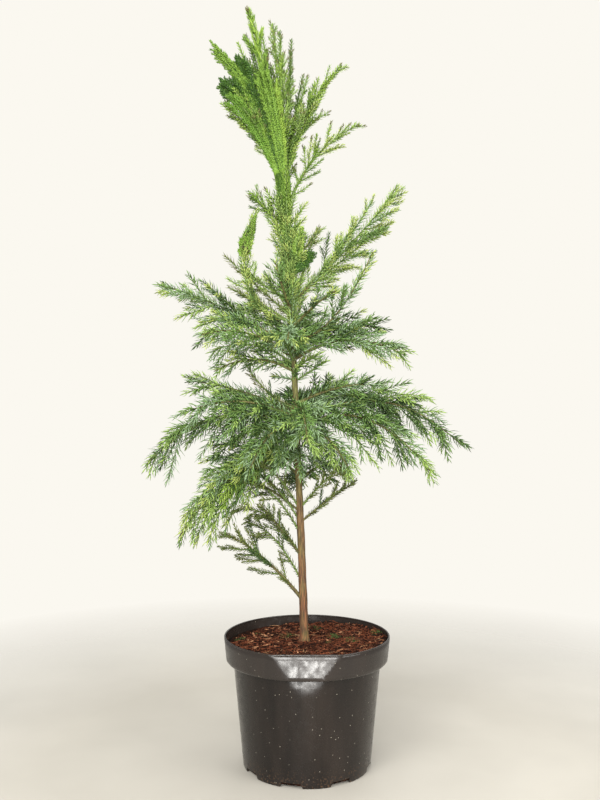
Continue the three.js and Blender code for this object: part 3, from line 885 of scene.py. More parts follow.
@dataclass(frozen=True)
class Litter:
    """One lot of loose bits on the soil: their name, number, tones and sizes."""

    name: str
    count: int
    seed: int
    dark: tuple
    light: tuple
    lengths: tuple[float, float] = (2, 12)
    thick: float = 0.5

    def make(self, skins: Skins, size: float, roughness: float, fit: Mover) -> None:
        """Make the lot's piece out of the skins gathered for it."""
        finish = LooseMatter(f"{self.name}_finish", self.dark, self.light, size, roughness)
        skins.make(self.name, finish.make(), "soil", ["soil"], fit)


@dataclass
class PottingSoil:
    """The pot's filling: a lumpy brown bed with coir fibres, bark chips and tufts of moss on it."""

    pot: NurseryPot
    level: float = 139.0
    flat_radius: float = 15.0
    right_rise: float = 4.0
    lump: float = 1.6
    trunk_x: float = -3.0
    trunk_clearance: float = 8.0
    wall_gap: float = 0.8
    dent_from: float = 60.0  # radius from which the bed starts to give way to the dent
    dent_full: float = 80.0
    top_rings: int = 56
    crumbs: tuple = ((0.12, 2.0), (0.3, 2.2), (0.75, 1.3), (1.6, 0.6))  # pitch and height
    # the bed's dark tone is dark peat, and also painted shade in the gaps between fibres and chips
    earth: LooseMatter = LooseMatter("soil_brown", linear(14, 7, 4), linear(54, 29, 17), 5.5, 0.95)
    moss: LooseMatter = LooseMatter("moss_green", linear(34, 46, 24), linear(92, 106, 58))
    fibres: tuple[Litter, ...] = (
        Litter("coir_red", 1050, 41, linear(72, 34, 21), linear(142, 84, 58), (5, 21), 0.5),
        Litter("coir_pale", 116, 43, linear(140, 98, 68), linear(196, 156, 118), (5, 17), 0.45),
        Litter("coir_dark", 1050, 47, linear(22, 11, 8), linear(60, 31, 18), (4, 15), 0.65),
    )
    chips: tuple[Litter, ...] = (
        Litter("bark_chips_brown", 520, 53, linear(40, 20, 13), linear(108, 60, 38)),
        Litter("bark_chips_tan", 104, 59, linear(124, 80, 56), linear(178, 132, 98)),
    )
    moss_seed: int = 61
    moss_blades: float = 26  # blades for each millimetre of a tuft's radius
    moss_tufts: tuple = (  # place to the right and to the back, and radius
        (-22, 24, 12), (32, 18, 9), (50, -4, 12), (82, 24, 7),
        (26, -8, 5), (-78, 26, 8), (-62, 46, 7), (10, 60, 9),
    )

    def surface(self, x: float, y: float) -> float:
        """Return the height of the soil at a place, by the frame's own rule.

        Args:
            x: Place to the right.
            y: Place to the back.

        Returns:
            The height in millimetres.
        """
        away = clamp((math.hypot(x - self.trunk_x, y) - self.flat_radius) / 30, 0, 1)
        broad = math.sin(x * 0.13 + 1) * math.cos(y * 0.11)
        fine = math.sin(x * 0.31) * math.sin(y * 0.27 + 2)
        bank = self.right_rise * (x / self.pot.foot_radius - 0.35)
        return self.level + away * (bank + self.lump * (broad + 0.6 * fine))

    def edge_radius(self, azimuth: float, height: float) -> float:
        """Find how far out the soil reaches inside the pot's wall.

        Args:
            azimuth: Degrees round the pot.
            height: Height in millimetres.

        Returns:
            The radius in millimetres.
        """
        pot = self.pot
        inner = lerp(pot.rim_foot_radius - pot.wall, pot.rim_radius - 2.4, pot.along_rim(height))
        return inner - 1.0 - pot.dent(azimuth, height)

    def build(self) -> None:
        """Model the bed and what lies on it."""
        self.make_bed()
        self.scatter_fibres()
        self.scatter_chips()
        self.plant_moss()

    def make_bed(self) -> None:
        """Draw the filling from the pot's floor up to its top, and roughen it."""
        pot, level, inset = self.pot, self.level, self.pot.wall + self.wall_gap
        heights = (pot.floor + 0.4, *pot.dent_heights[:5])
        rings = [(pot.body_radius(height) - inset, height) for height in heights]
        rings += [
            (pot.body_radius(pot.shoulder) - inset, pot.shoulder + 0.2),
            (self.edge_radius(0, pot.shoulder + 4) - 0.3, pot.shoulder + 4),
            (self.edge_radius(0, level - 2), level - 2),
        ]
        edge = self.edge_radius(0, level)
        rings += [(edge * share, level) for share in np.linspace(1.0, 0.02, self.top_rings)]
        bed = draw_rings("soil_bed", pot.sides, [(0, 0, height, radius) for radius, height in rings])
        self.roughen(bed)
        smooth(bed, ROUGH_ANGLE)
        dress(bed, self.earth.make(), "soil", ["soil"])

    def roughen(self, bed: Piece) -> None:
        """Raise the bed's top to the soil's rule, with crumbs, and fit its edge behind the dent.

        Args:
            bed: The bed with its flat top.
        """
        for vertex in bed.data.vertices:
            x, y, z = vertex.co / MM
            pressed = self.pot.dent(azimuth_of(x, y), z)
            radius = math.hypot(x, y)
            if radius > self.dent_from and pressed:
                yielding = clamp((radius - self.dent_from) / (self.dent_full - self.dent_from), 0, 1)
                share = 1 - pressed * yielding / radius
                x, y = x * share, y * share
            if z > self.level - 0.5:
                place = Vector((x, y, 0))
                crumbs = sum(noise.noise(place * pitch) * rise for pitch, rise in self.crumbs)
                at_trunk = clamp((math.hypot(x - self.trunk_x, y) - 6) / 6, 0, 1)
                z = self.surface(x, y) + crumbs * at_trunk
            vertex.co = Vector((x, y, z)) * MM

    def scattered(self, lot: Litter) -> Iterator[tuple[float, float, Stream]]:
        """Yield seeded places on the soil, clear of the trunk.

        Args:
            lot: How many places to try, and the seed of their draw.

        Yields:
            Place to the right, place to the back, and the stream of numbers.
        """
        stream = np.random.default_rng(lot.seed)
        for _ in range(lot.count):
            azimuth = stream.uniform(0, 360)
            reach = (self.edge_radius(azimuth, self.level) - 1.5) * math.sqrt(stream.uniform(0, 1))
            x, y = compass(azimuth)[:2] * reach
            if math.hypot(x - self.trunk_x, y) > self.trunk_clearance:
                yield x, y, stream

    def within_pot(self, corners: np.ndarray) -> np.ndarray:
        """Pull corners that would pass through the pot's wall back inside it.

        Args:
            corners: Their places.

        Returns:
            The same corners.
        """
        for corner in corners:
            x, y, z = corner
            limit = self.edge_radius(azimuth_of(x, y), min(z, self.pot.height)) + 0.4
            if math.hypot(x, y) > limit:
                corner[:2] *= limit / math.hypot(x, y)
        return corners

    def scatter_fibres(self) -> None:
        """Strew thin curved coir fibres, in dark, red and pale lots."""
        for lot in self.fibres:
            skins = Skins()
            for x, y, stream in self.scattered(lot):
                length = stream.uniform(*lot.lengths)
                heading = compass(stream.uniform(0, 360)) * length
                start = np.array([x, y, self.surface(x, y) + stream.uniform(-0.3, 1.6)])
                end = start + heading
                end[2] = self.surface(end[0], end[1]) + stream.uniform(-0.6, 2.6)
                bow = np.cross(heading, [0, 0, 1]) * stream.uniform(-0.28, 0.28)
                middle = (start + end) / 2 + bow + [0, 0, stream.uniform(0, 1.8)]
                skins.add_tube(Bend(start, middle, end), 0.0, lot.thick, lot.thick * 0.35, 3, length / 4)
            lot.make(skins, 2.0, 0.9, self.within_pot)

    def scatter_chips(self) -> None:
        """Strew flat splinters of bark."""
        for lot in self.chips:
            skins = Skins()
            for x, y, stream in self.scattered(lot):
                long = stream.uniform(*lot.lengths) ** 1.05
                half = np.array([long, stream.uniform(1.0, 3.4), stream.uniform(0.5, 1.2)]) / 2
                heading = stream.uniform(0, 2 * math.pi)
                pitch, roll = stream.normal(0, 0.35, 2)
                place = np.array([x, y, self.surface(x, y) + stream.uniform(0.2, 1.5)])
                skins.add_splinter(place, half, Euler((roll, pitch, heading)), stream)
            lot.make(skins, 2.4, 0.85, self.within_pot)

    def plant_moss(self) -> None:
        """Set small tufts of moss and seedling leaves into the bed."""
        skins = Skins()
        stream = np.random.default_rng(self.moss_seed)
        for x, y, radius in self.moss_tufts:
            for _ in range(int(radius * self.moss_blades)):
                away = compass(stream.uniform(0, 360)) * radius * math.sqrt(stream.uniform(0, 1))
                foot = np.array([x, y, 0.0]) + away
                foot[2] = self.surface(foot[0], foot[1]) - 0.2
                lean = compass(stream.uniform(0, 360)) * stream.uniform(0.2, 1.8)
                rise = stream.uniform(1.2, 3.4) * (1.15 - np.linalg.norm(away) / radius * 0.6)
                blade = Bend(foot, foot + lean * 0.2 + [0, 0, rise * 0.6], foot + lean + [0, 0, rise])
                skins.add_tube(blade, 0.0, 0.42, 0.12, 3, rise)
        skins.make("moss_tufts", self.moss.make(), "soil", ["soil"], self.within_pot)


# ---------------------------------------------------------------- the frame's boughs


class Storey(Enum):
    """The storeys of the plant, from the ground up."""

    LOW = "low"
    WHORL = "whorl"
    MIDDLE = "middle"
    UPPER = "upper"
    TOP = "top"


@dataclass(frozen=True)
class Growth:
    """How shoots of one habit grow: their needles, and their finer twigs."""

    needle: float  # longest needle
    half_width: float
    spread: float  # degrees between needle and twig at its foot
    tip_spread: float  # and at its tip
    spacing: float  # length of twig to each needle
    twig_gap: float  # length of stem to each finer twig
    twig_share: float  # a finer twig's length against the rule's
    twig_lean: tuple[float, float]  # degrees between finer twigs and their stem, at its foot and its tip
    twiglet_gap: float
    twiglet_share: float
    twig_radius: float


class Habit(Enum):
    """The kinds of shoot that the plant grows, and how they grow."""

    ROPE = Growth(5.2, 0.6, 46, 30, 0.84, 8, 0.95, (50, 34), 13, 0.45, 0.8)
    FEATHER = Growth(14.0, 0.72, 54, 41, 1.42, 12, 0.9, (52, 34), 25, 0.42, 0.75)
    PLUME = Growth(12.0, 0.68, 53, 40, 1.28, 10, 0.95, (52, 34), 19, 0.42, 0.75)
    BRUSH = Growth(13.0, 0.7, 52, 38, 1.3, 12, 0.8, (46, 32), 18, 0.4, 0.75)
    FLUFF = Growth(8.4, 0.56, 52, 39, 0.9, 9, 0.92, (50, 32), 13, 0.42, 0.7)
    WISP = Growth(8.0, 0.5, 44, 30, 0.95, 9, 0.9, (44, 30), 12, 0.3, 0.6)
    SLIM = Growth(5.0, 0.54, 50, 36, 0.86, 8, 1.15, (44, 30), 9, 0.36, 0.8)
    SPIRE = Growth(7.4, 0.68, 42, 24, 0.44, 7, 0.55, (38, 26), 9, 0.34, 1.1)
    SHEAF = Growth(4.6, 0.56, 48, 36, 0.76, 9, 0.9, (40, 28), 10, 0.34, 0.8)
    BOUND = Growth(4.6, 0.56, 20, 10, 0.66, 99, 0, (30, 30), 99, 0, 0.8)
    FUSED = Growth(3.8, 0.7, 56, 40, 0.5, 99, 0, (30, 30), 99, 0, 1.3)


@dataclass(frozen=True)
class Bough:
    """One bough: where it leaves the trunk, how it runs, and how its twigs grow."""

    storey: Storey
    habit: Habit
    name: str
    start: float  # height at which it leaves the trunk
    azimuth: float
    reach: float
    tip: float  # height of its tip
    lift: float  # how far its middle rises above a straight line
    twig: float  # length of its longest twigs
    droop: float
    bare: float = 0.2  # share of its stem without twigs
    round: bool = False  # whether its twigs stand all round it
    bulge: float = 0.5  # how far out its middle lies, against its reach
    fine: bool = False  # whether it is too fine for the frame

    @property
    def is_limb(self) -> bool:
        """Whether its bare foot is a limb of its own in the frame."""
        return self.bare >= 0.26 and not self.fine


def boughs_of(storey: Storey, habit: Habit, *rows: tuple, fine: bool = False) -> list[Bough]:
    """Return boughs of one storey and habit: rows of their other fields, in order."""
    return [Bough(storey, habit, *row, fine=fine) for row in rows]


LEADER = Bough(Storey.TOP, Habit.SPIRE, "leader", 701, 183, 41, 866, -2, 30, -0.4, 0.06, True)
BOUGHS = (
    *boughs_of(
        Storey.LOW, Habit.ROPE,
        ("rope_low_left", 186, 183, 88, 263, 9, 40, -0.2, 0.42),
        ("rope_left_inner", 236, 205, 52, 300, 1, 26, -0.3),
        ("rope_left_upper", 288, 170, 84, 334, 6, 28, -0.1, 0.24),
    ),
    Bough(Storey.LOW, Habit.FEATHER, "bright_low_left", 346, 192, 136, 264, 30, 52, 0.5, 0.28),
    Bough(Storey.LOW, Habit.ROPE, "rope_low_right", 276, 12, 66, 322, 2, 22, -0.2, 0.24),
    *boughs_of(
        Storey.LOW, Habit.FEATHER,
        ("low_back", 300, 92, 98, 318, 22, 42, 0.3),
        ("low_back_left", 330, 134, 96, 316, 20, 42, 0.4),
        ("low_back_right", 322, 48, 92, 326, 16, 38, 0.4),
    ),
    *boughs_of(
        Storey.WHORL, Habit.FEATHER,
        ("whorl_left_long", 386, 183, 172, 344, 34, 56, 0.8, 0.28),
        ("whorl_left_back", 402, 163, 134, 441, 6, 50, 0.3, 0.24),
        ("whorl_left_front", 396, 204, 134, 402, 16, 46, 0.6),
        ("whorl_right_long", 386, 1, 190, 366, 40, 58, 0.7, 0.27),
        ("whorl_right_back", 398, 22, 158, 404, 22, 52, 0.4),
        ("whorl_right_front", 380, 337, 158, 338, 38, 52, 0.6, 0.27),
        ("whorl_right_top", 412, 352, 98, 434, 8, 30, 0.1),
        ("whorl_front", 390, 276, 112, 372, 26, 42, 0.5),
        ("whorl_front_left", 376, 238, 100, 334, 26, 38, 0.7),
        ("whorl_front_right", 372, 308, 96, 334, 24, 36, 0.7),
        ("whorl_back", 392, 88, 140, 388, 34, 46, 0.5, 0.27),
        ("whorl_back_left", 380, 124, 138, 368, 34, 42, 0.5),
        ("whorl_back_right", 404, 56, 136, 410, 26, 44, 0.4),
    ),
    *boughs_of(
        Storey.MIDDLE, Habit.PLUME,
        ("middle_left_long", 474, 176, 152, 550, 10, 54, 0.3, 0.27),
        ("middle_left_front", 464, 206, 112, 488, 16, 46, 0.4),
        ("middle_left_low", 450, 186, 92, 450, 14, 30, 0.4),
        ("middle_right", 464, 357, 128, 468, 20, 46, 0.4, 0.27),
        ("middle_right_back", 478, 24, 116, 504, 12, 42, 0.1),
        ("middle_right_upright", 488, 342, 94, 582, -26, 32, -0.1),
        ("middle_front", 476, 266, 78, 480, 16, 36, 0.4),
        ("middle_front_right", 500, 314, 68, 536, 4, 26, 0),
        ("middle_back", 482, 86, 108, 512, 20, 40, 0.2),
        ("middle_back_left", 492, 132, 104, 532, 12, 36, 0.1),
    ),
    *boughs_of(
        Storey.UPPER, Habit.FLUFF,
        ("upper_right_rising", 530, 358, 124, 662, -6, 48, 0, 0.27),
        ("upper_left_feather", 508, 194, 42, 634, -24, 26, -0.3, 0.25, False, 2),
        ("upper_left_low", 528, 168, 58, 566, 2, 32, 0.1),
        ("upper_front", 556, 292, 30, 610, -8, 24, 0, 0.2, True),
        ("upper_back", 552, 98, 74, 622, 0, 32, 0),
        ("upper_back_right", 572, 44, 50, 622, 0, 24, 0),
    ),
    *boughs_of(
        Storey.TOP, Habit.FLUFF,
        ("neck_left", 598, 184, 42, 656, 2, 26, -0.2, 0.16, True),
        ("neck_front", 606, 262, 22, 678, -8, 20, -0.3, 0.16, True),
    ),
    Bough(Storey.MIDDLE, Habit.PLUME, "middle_front_high", 520, 246, 44, 570, -4, 30, 0, 0.2, True),
    *boughs_of(
        Storey.TOP, Habit.SLIM,
        ("neck_right", 634, 4, 84, 738, 8, 30, -0.1, 0.24, False, 0.2),
        ("neck_back", 650, 100, 48, 752, -12, 22, -0.2, 0.24, True),
        ("top_right", 664, 358, 64, 802, 8, 32, -0.1, 0.24, False, 0.15),
        ("top_left", 672, 172, 72, 766, 2, 22, -0.2),
        ("crest", 686, 194, 50, 772, -10, 20, -0.3, 0.2, True),
        ("top_middle", 682, 128, 24, 860, -6, 26, -0.4, 0.2, True),
        ("top_front", 690, 262, 22, 806, -8, 26, -0.4, 0.2, True),
    ),
)


@dataclass
class Trunk:
    """The trunk's line and taper, as in the frame."""

    foot: float = 139.3
    tip: float = 706.0
    foot_radius: float = 5.0
    flare_radius: float = 7.2
    flare_height: float = 15.0
    tip_radius: float = 1.7
    lean: float = -23.0
    foot_x: float = -3.0
    back_bow: float = 3.0

    def point(self, height: float) -> np.ndarray:
        """Find the middle of the trunk at a height.

        Args:
            height: Height in millimetres.

        Returns:
            The point.
        """
        along = max(0.0, (height - self.foot) / (self.tip - self.foot))
        bow = self.back_bow * math.sin(math.pi * along)
        return np.array([self.foot_x + self.lean * along**1.15, bow, height])

    def radius(self, height: float) -> float:
        """Find the trunk's radius at a height.

        Args:
            height: Height in millimetres.

        Returns:
            The radius in millimetres.
        """
        rise = height - self.foot
        flare = (self.flare_radius - self.foot_radius) * math.exp(-3 * rise / self.flare_height)
        return lerp(self.foot_radius, self.tip_radius, rise / (self.tip - self.foot)) + flare


# ---------------------------------------------------------------- the rule that stems and twigs follow


class SeededStream:
    """A repeatable stream of numbers from 0 to 1, the same one that the frame's source draws."""

    mask = 0xFFFFFFFF  # the lowest 32 bits
    step = 0x6D2B79F5

    def __init__(self, seed: int) -> None:
        """Start the stream at a seed."""
        self.state = seed & self.mask

    def draw(self) -> float:
        """Draw the next number.

        Returns:
            The number.
        """
        self.state = (self.state + self.step) & self.mask
        mixed = ((self.state ^ (self.state >> 15)) * (self.state | 1)) & self.mask
        turned = ((mixed ^ (mixed >> 7)) * (mixed | 61)) & self.mask
        mixed ^= (mixed + turned) & self.mask
        return ((mixed ^ (mixed >> 14)) & self.mask) / (self.mask + 1)


@dataclass
class Plan:
    """One bough's stem with its seed, and twigs with the shares of the leafy stem at which they leave."""

    bough: Bough
    stem: Bend
    seed: int
    twigs: list[tuple[Bend, float]]


class Laid:
    """Every stem and twig laid down so far, as short straight pieces."""

    def __init__(self) -> None:
        """Start with nothing laid."""
        self.rows: list[tuple[np.ndarray, np.ndarray, float, str]] = []

    def lay(self, points: np.ndarray, radius: float, owner: str) -> None:
        """Lay straight pieces through points, for the mass that owns them."""
        self.rows += [(start, end - start, radius, owner) for start, end in zip(points, points[1:])]

    def lay_bend(self, bend: Bend, first: float, steps: int, radius: float, owner: str) -> None:
        """Lay a curve as straight pieces.

        Args:
            bend: The curve.
            first: Share of the curve at which to begin.
            steps: How many pieces.
            radius: Its radius.
            owner: The mass that it belongs to.
        """
        self.lay(bend.points(lerp(first, 1, np.arange(steps + 1) / steps)), radius, owner)

    def index(self) -> None:
        """Bring the arrays up to date with what has been laid."""
        starts, ways, radii, owners = zip(*self.rows)
        self.starts, self.ways, self.radii = np.array(starts), np.array(ways), np.array(radii)
        self.owners = np.array(owners, dtype=object)

    def room(self, points: np.ndarray, owner: str) -> np.ndarray:
        """Return the free distance from each point to what belongs to others.

        Args:
            points: The points.
            owner: The mass that they belong to.

        Returns:
            A distance for each point.
        """
        others = self.owners != owner
        ways, to_point = self.ways[others], points[:, None] - self.starts[others][None]
        share = np.sum(to_point * ways, axis=2) / np.sum(ways * ways, axis=1)
        nearest = np.clip(share, 0, 1)[..., None] * ways[None]
        return (np.linalg.norm(to_point - nearest, axis=2) - self.radii[others]).min(axis=1)


@dataclass
class GrowthRule:
    """The frame's rule: stems on the trunk, and side twigs that keep to their own mass's space."""

    trunk: Trunk
    stem_radius: float = 1.5
    tip_radius: float = 0.55
    twig_spacing: float = 15.0
    roll: float = 52.0
    leans: tuple[float, float] = (54, 36)  # degrees between stem and twig, at the stem's foot and tip
    uneven_lean: float = 6.0
    uneven_length: tuple[float, float] = (0.82, 1.15)
    least_twig: float = 11.0
    room: float = 4.5
    lowest: float = 179.0
    trunk_step: float = 20.0
    first_seed: int = 1000
    seed_step: int = 37

    def stem(self, bough: Bough) -> Bend:
        """Find a bough's stem: one arched line from the trunk's middle to its tip.

        Args:
            bough: The bough.

        Returns:
            The stem's line.
        """
        start, outward = self.trunk.point(bough.start), compass(bough.azimuth)
        tip = start + outward * bough.reach
        tip[2] = bough.tip
        middle = start + outward * bough.reach * bough.bulge
        middle[2] = (bough.start + bough.tip) / 2 + 2 * bough.lift
        return Bend(start, middle, tip)

    @staticmethod
    def twig_share(along: float) -> float:
        """Return a twig's length against the longest, at a share of the leafy stem."""
        return lerp(0.65, 1, along / 0.35) if along < 0.35 else lerp(1, 0.34, (along - 0.35) / 0.65)

    def twigs(self, plan: Plan) -> Iterator[tuple[Bend, float]]:
        """Yield the side twigs that the rule draws for a bough, before they are fitted.

        Args:
            plan: The bough's plan.

        Yields:
            A twig's line, and the share of the leafy stem at which it leaves.
        """
        bough, stem = plan.bough, plan.stem
        stream = SeededStream(plan.seed)
        count = max(3, math.floor(stem.length() * (1 - bough.bare) / self.twig_spacing + 0.5))
        for i in range(count):
            along = (i + 0.3 + 0.4 * stream.draw()) / count
            roll = (i % 2) * 180 + lerp(-self.roll, self.roll, stream.draw())
            turn = GOLDEN_TURN * i + 40 if bough.round else roll
            lean = lerp(*self.leans, along) + lerp(-self.uneven_lean, self.uneven_lean, stream.draw())
            length = bough.twig * self.twig_share(along) * lerp(*self.uneven_length, stream.draw())
            t = lerp(bough.bare, 0.97, along)
            yield side_line(stem, t, bough.azimuth, turn, lean, length, bough.droop), along

    def fitted(self, bend: Bend, owner: str, laid: Laid, room: float, least: float) -> Bend | None:
        """Shorten a twig until it keeps its distance from other masses, within the plant's reach.

        Args:
            bend: The twig.
            owner: Its mass.
            laid: What is already there.
            room: The distance to keep.
            least: The length below which it is given up.

        Returns:
            The fitted twig, or nothing.
        """
        while bend.length() > least:
            points = bend.points(np.array([0.3, 0.5, 0.7, 0.85, 1.0]))
            heights = points[:, 2]
            in_reach = heights.max() < LEADER.tip and heights.min() > self.lowest
            if in_reach and laid.room(points, owner).min() > room:
                return bend
            bend = bend.shortened(0.8)
        return None

    def plan(self) -> tuple[list[Plan], Laid]:
        """Lay the trunk, all stems and then their twigs.

        Returns:
            A plan for each bough, the leader first, and all that was laid.
        """
        laid, trunk = Laid(), self.trunk
        for height in np.arange(trunk.foot, trunk.tip, self.trunk_step):
            top = min(height + self.trunk_step, trunk.tip)
            laid.lay(np.array([trunk.point(height), trunk.point(top)]), trunk.radius(height), "trunk")
        plans = [
            Plan(bough, self.stem(bough), self.first_seed + self.seed_step * index, [])
            for index, bough in enumerate((LEADER, *BOUGHS))
        ]
        for plan in plans:
            laid.lay_bend(plan.stem, 0.04, 8, self.stem_radius, plan.bough.name)
        for plan in plans:
            owner = plan.bough.name
            laid.index()
            for bend, along in self.twigs(plan):
                bend = self.fitted(bend, owner, laid, self.room, self.least_twig)
                if bend:
                    plan.twigs.append((bend, along))
            for bend, _ in plan.twigs:
                laid.lay_bend(bend, 0.15, 3, self.tip_radius, owner)
        laid.index()
        return plans, laid


# ---------------------------------------------------------------- bark


@dataclass
class BarkedWood:
    """The trunk and its bare limbs, with fibrous relief in their skin."""

    trunk: Trunk
    sides: int = 28
    sunk: float = 3.0  # how deep the trunk's skin goes on below its foot
    ring_step: float = 5.0
    relief: float = 0.55
    limb_sides: int = 14
    limb_foot: float = 2.3
    limb_end: float = 1.35
    limb_step: float = 2.5
    limb_relief: float = 0.45  # against the trunk's
    trunk_bark: Bark = Bark("trunk_bark")
    limb_bark: Bark = Bark("bough_bark", linear(106, 92, 50), linear(100, 98, 52))

    def build(self, plans: list[Plan]) -> None:
        """Model the trunk and each limb, and dress them.

        Args:
            plans: The plans of all boughs.
        """
        dress(self.raise_trunk(), self.trunk_bark.make(), "trunk_bark", ["trunk"])
        finish = self.limb_bark.make()
        for plan in plans:
            if plan.bough.is_limb:
                dress(self.bend_limb(plan), finish, "bough_bark", [f"bough_{plan.bough.name}"])

    def raise_trunk(self) -> Piece:
        """Draw the trunk ring by ring from just below the soil, and roughen its skin.

        Returns:
            The trunk.
        """
        trunk = self.trunk
        steps = int((trunk.tip - trunk.foot) / self.ring_step)
        rings = [(*trunk.point(trunk.foot - self.sunk), trunk.radius(trunk.foot))]
        for i in range(steps + 1):
            height = lerp(trunk.foot, trunk.tip, i / steps)
            rings.append((*trunk.point(height), trunk.radius(height)))
        piece = draw_rings("trunk_with_bark", self.sides, rings)
        self.roughen(piece, lambda place: trunk.point(place[2]), 1.0)
        smooth(piece, ROUGH_ANGLE)
        return piece

    def bend_limb(self, plan: Plan) -> Piece:
        """Model one limb as a tapering cone, cut into short lengths and bent along its stem.

        Args:
            plan: The bough's plan.

        Returns:
            The limb.
        """
        stem, bare = plan.stem, plan.bough.bare
        length = run_length(stem.points(np.linspace(0, bare, 200)))
        pick()
        bpy.ops.mesh.primitive_cone_add(
            vertices=self.limb_sides, radius1=self.limb_foot * MM, radius2=self.limb_end * MM,
            depth=length * MM, location=(0, 0, length / 2 * MM))
        piece = settle(bpy.context.object, f"limb_{plan.bough.name}")
        bpy.ops.object.mode_set(mode="EDIT")
        cuts = int(length / self.limb_step)
        for i in range(1, cuts):
            bpy.ops.mesh.select_all(action="SELECT")
            bpy.ops.mesh.bisect(plane_co=(0, 0, length * i / cuts * MM), plane_no=(0, 0, 1))
        bpy.ops.object.mode_set(mode="OBJECT")
        for vertex in piece.data.vertices:
            x, y, z = vertex.co / MM
            t = bare * clamp(z / length, 0, 1)
            level, upper = across(stem.tangents(t), plan.bough.azimuth)
            vertex.co = Vector(stem.points(t) + level * x + upper * y) * MM
        line = stem.points(np.linspace(0, bare, 60))
        self.roughen(
            piece, lambda place: line[np.argmin(np.linalg.norm(line - place, axis=1))], self.limb_relief)
        face_outward(piece)
        smooth(piece, ROUGH_ANGLE)
        return piece

    def roughen(self, piece: Piece, middle_of: Mover, share: float) -> None:
        """Work long fibrous ridges into a skin.

        Args:
            piece: The trunk or a limb.
            middle_of: Gives the middle line's point nearest to a place.
            share: Relief against the trunk's own.
        """
        for vertex in piece.data.vertices:
            place = np.array(vertex.co) / MM
            outward = place - middle_of(place)
            reach = np.linalg.norm(outward)
            if reach < 0.3:
                continue
            x, y, z = outward / reach
            strand = Vector((x * 3.1, y * 3.1, z * 2 + place[2] * 0.045))
            broad = Vector((x * 1.3, y * 1.3, place[2] * 0.02 + 7))
            ridge = noise.noise(strand) * 0.9 + noise.noise(strand * 2.7) * 0.5 + noise.noise(broad) * 0.7
            vertex.co = Vector(place + np.array([x, y, z]) * ridge * self.relief * share) * MM


# ---------------------------------------------------------------- shoots too fine for the frame


@dataclass(frozen=True)
class Collar:
    """Short shoots that stand all round the trunk between two heights."""

    name: str
    storey: Storey
    habit: Habit
    low: float
    high: float
    count: int
    reach: tuple[float, float]
    rise: tuple[float, float]
    twig: float
    droop: float
    seed: int
    lift: float = 0.0
    bare: float = 0.12

    def shoots(self) -> Iterator[Bough]:
        """Yield the collar's shoots, turned by the golden angle from each to the next.

        Yields:
            A shoot.
        """
        stream = np.random.default_rng(self.seed)
        for i in range(self.count):
            foot = lerp(self.low, self.high, (i + stream.uniform(0.2, 0.8)) / self.count)
            tip = foot + stream.uniform(*self.rise)
            reach = stream.uniform(*self.reach)
            yield Bough(
                self.storey, self.habit, f"{self.name}_{i}", foot, GOLDEN_TURN * i % 360, reach, tip,
                self.lift, self.twig, self.droop, self.bare, True, fine=True)


@dataclass(frozen=True)
class Sheaf:
    """Slim shoots gathered against the trunk at a waist, and fanned out above it."""

    inner: int = 13
    low_foot: float = 566.0
    high_foot: float = 640.0
    waist: tuple[float, float, float] = (-28.5, 1.0, 680.0)
    waist_radius: float = 9.0
    late: float = 0.28  # how far out a shoot has come half-way up
    top: float = 836.0
    shortest: float = 744.0
    spread: float = 20.0
    depth: float = 22.0
    lean: float = -32.0
    bare: float = 0.32
    outer: tuple = (
        (-79, -13, 824), (-71, 5, 841), (-52, -6, 838), (-31, -8, 839), (-18, 7, 836), (-18, -13, 808),
        (-4, 8, 796), (1, -6, 789), (21, -9, 770), (26, 7, 790), (8, -12, 762), (-88, 9, 765),
        (-99, -8, 757), (-72, -20, 747), (-84, -18, 770), (-8, 18, 770), (-64, 20, 768), (-40, 25, 792),
        (-90, 4, 790), (-52, -31, 792),
    )
    seed: int = 17

    def tips(self, stream: Stream) -> list[np.ndarray]:
        """Find where the shoots end: the outer tips, and inner ones at golden azimuths.

        Args:
            stream: Where the inner tips' unevenness comes from.

        Returns:
            The tips.
        """
        found = [np.array(tip, float) for tip in self.outer]
        for i in range(self.inner):
            share = math.sqrt((i + 0.5) / self.inner)
            tip = self.waist + compass(GOLDEN_TURN * i) * share * [self.spread, self.depth, 0]
            tip[2] = lerp(self.top, self.shortest, share**2 * 0.6 + 0.4 * stream.uniform())
            tip[0] += self.lean * (tip[2] - self.waist[2]) / (self.top - self.waist[2])
            found.append(tip)
        return found

    def shoots(self, trunk: Trunk) -> Iterator[tuple[Bough, Bend]]:
        """Yield the sheaf's shoots with their lines: for each tip a bound part, then a free one.

        Args:
            trunk: The trunk that they stand against.

        Yields:
            A shoot and its line.
        """
        stream, waist = np.random.default_rng(self.seed), np.array(self.waist)
        for i, tip in enumerate(self.tips(stream)):
            azimuth = azimuth_of(*(tip - waist)[:2])
            around = compass(azimuth)
            foot = trunk.point(stream.uniform(self.low_foot, self.high_foot))
            knot = waist + around * self.waist_radius * stream.uniform(0.35, 1.0)
            below = lerp(foot, knot, 0.55) + around * self.waist_radius * 0.4
            middle = knot + (tip - knot) * [self.late, self.late, 0.5]
            twig = stream.uniform(13, 21)
            for habit, line, row in (
                (Habit.BOUND, Bend(foot, below, knot), (1, 0, 1.0)),
                (Habit.SHEAF, Bend(knot, middle, tip), (twig, -0.1, self.bare, True)),
            ):
                name, low, high = f"{habit.name.lower()}_{i}", line.start[2], line.end[2]
                yield Bough(Storey.TOP, habit, name, low, azimuth, 1, high, 0, *row, fine=True), line


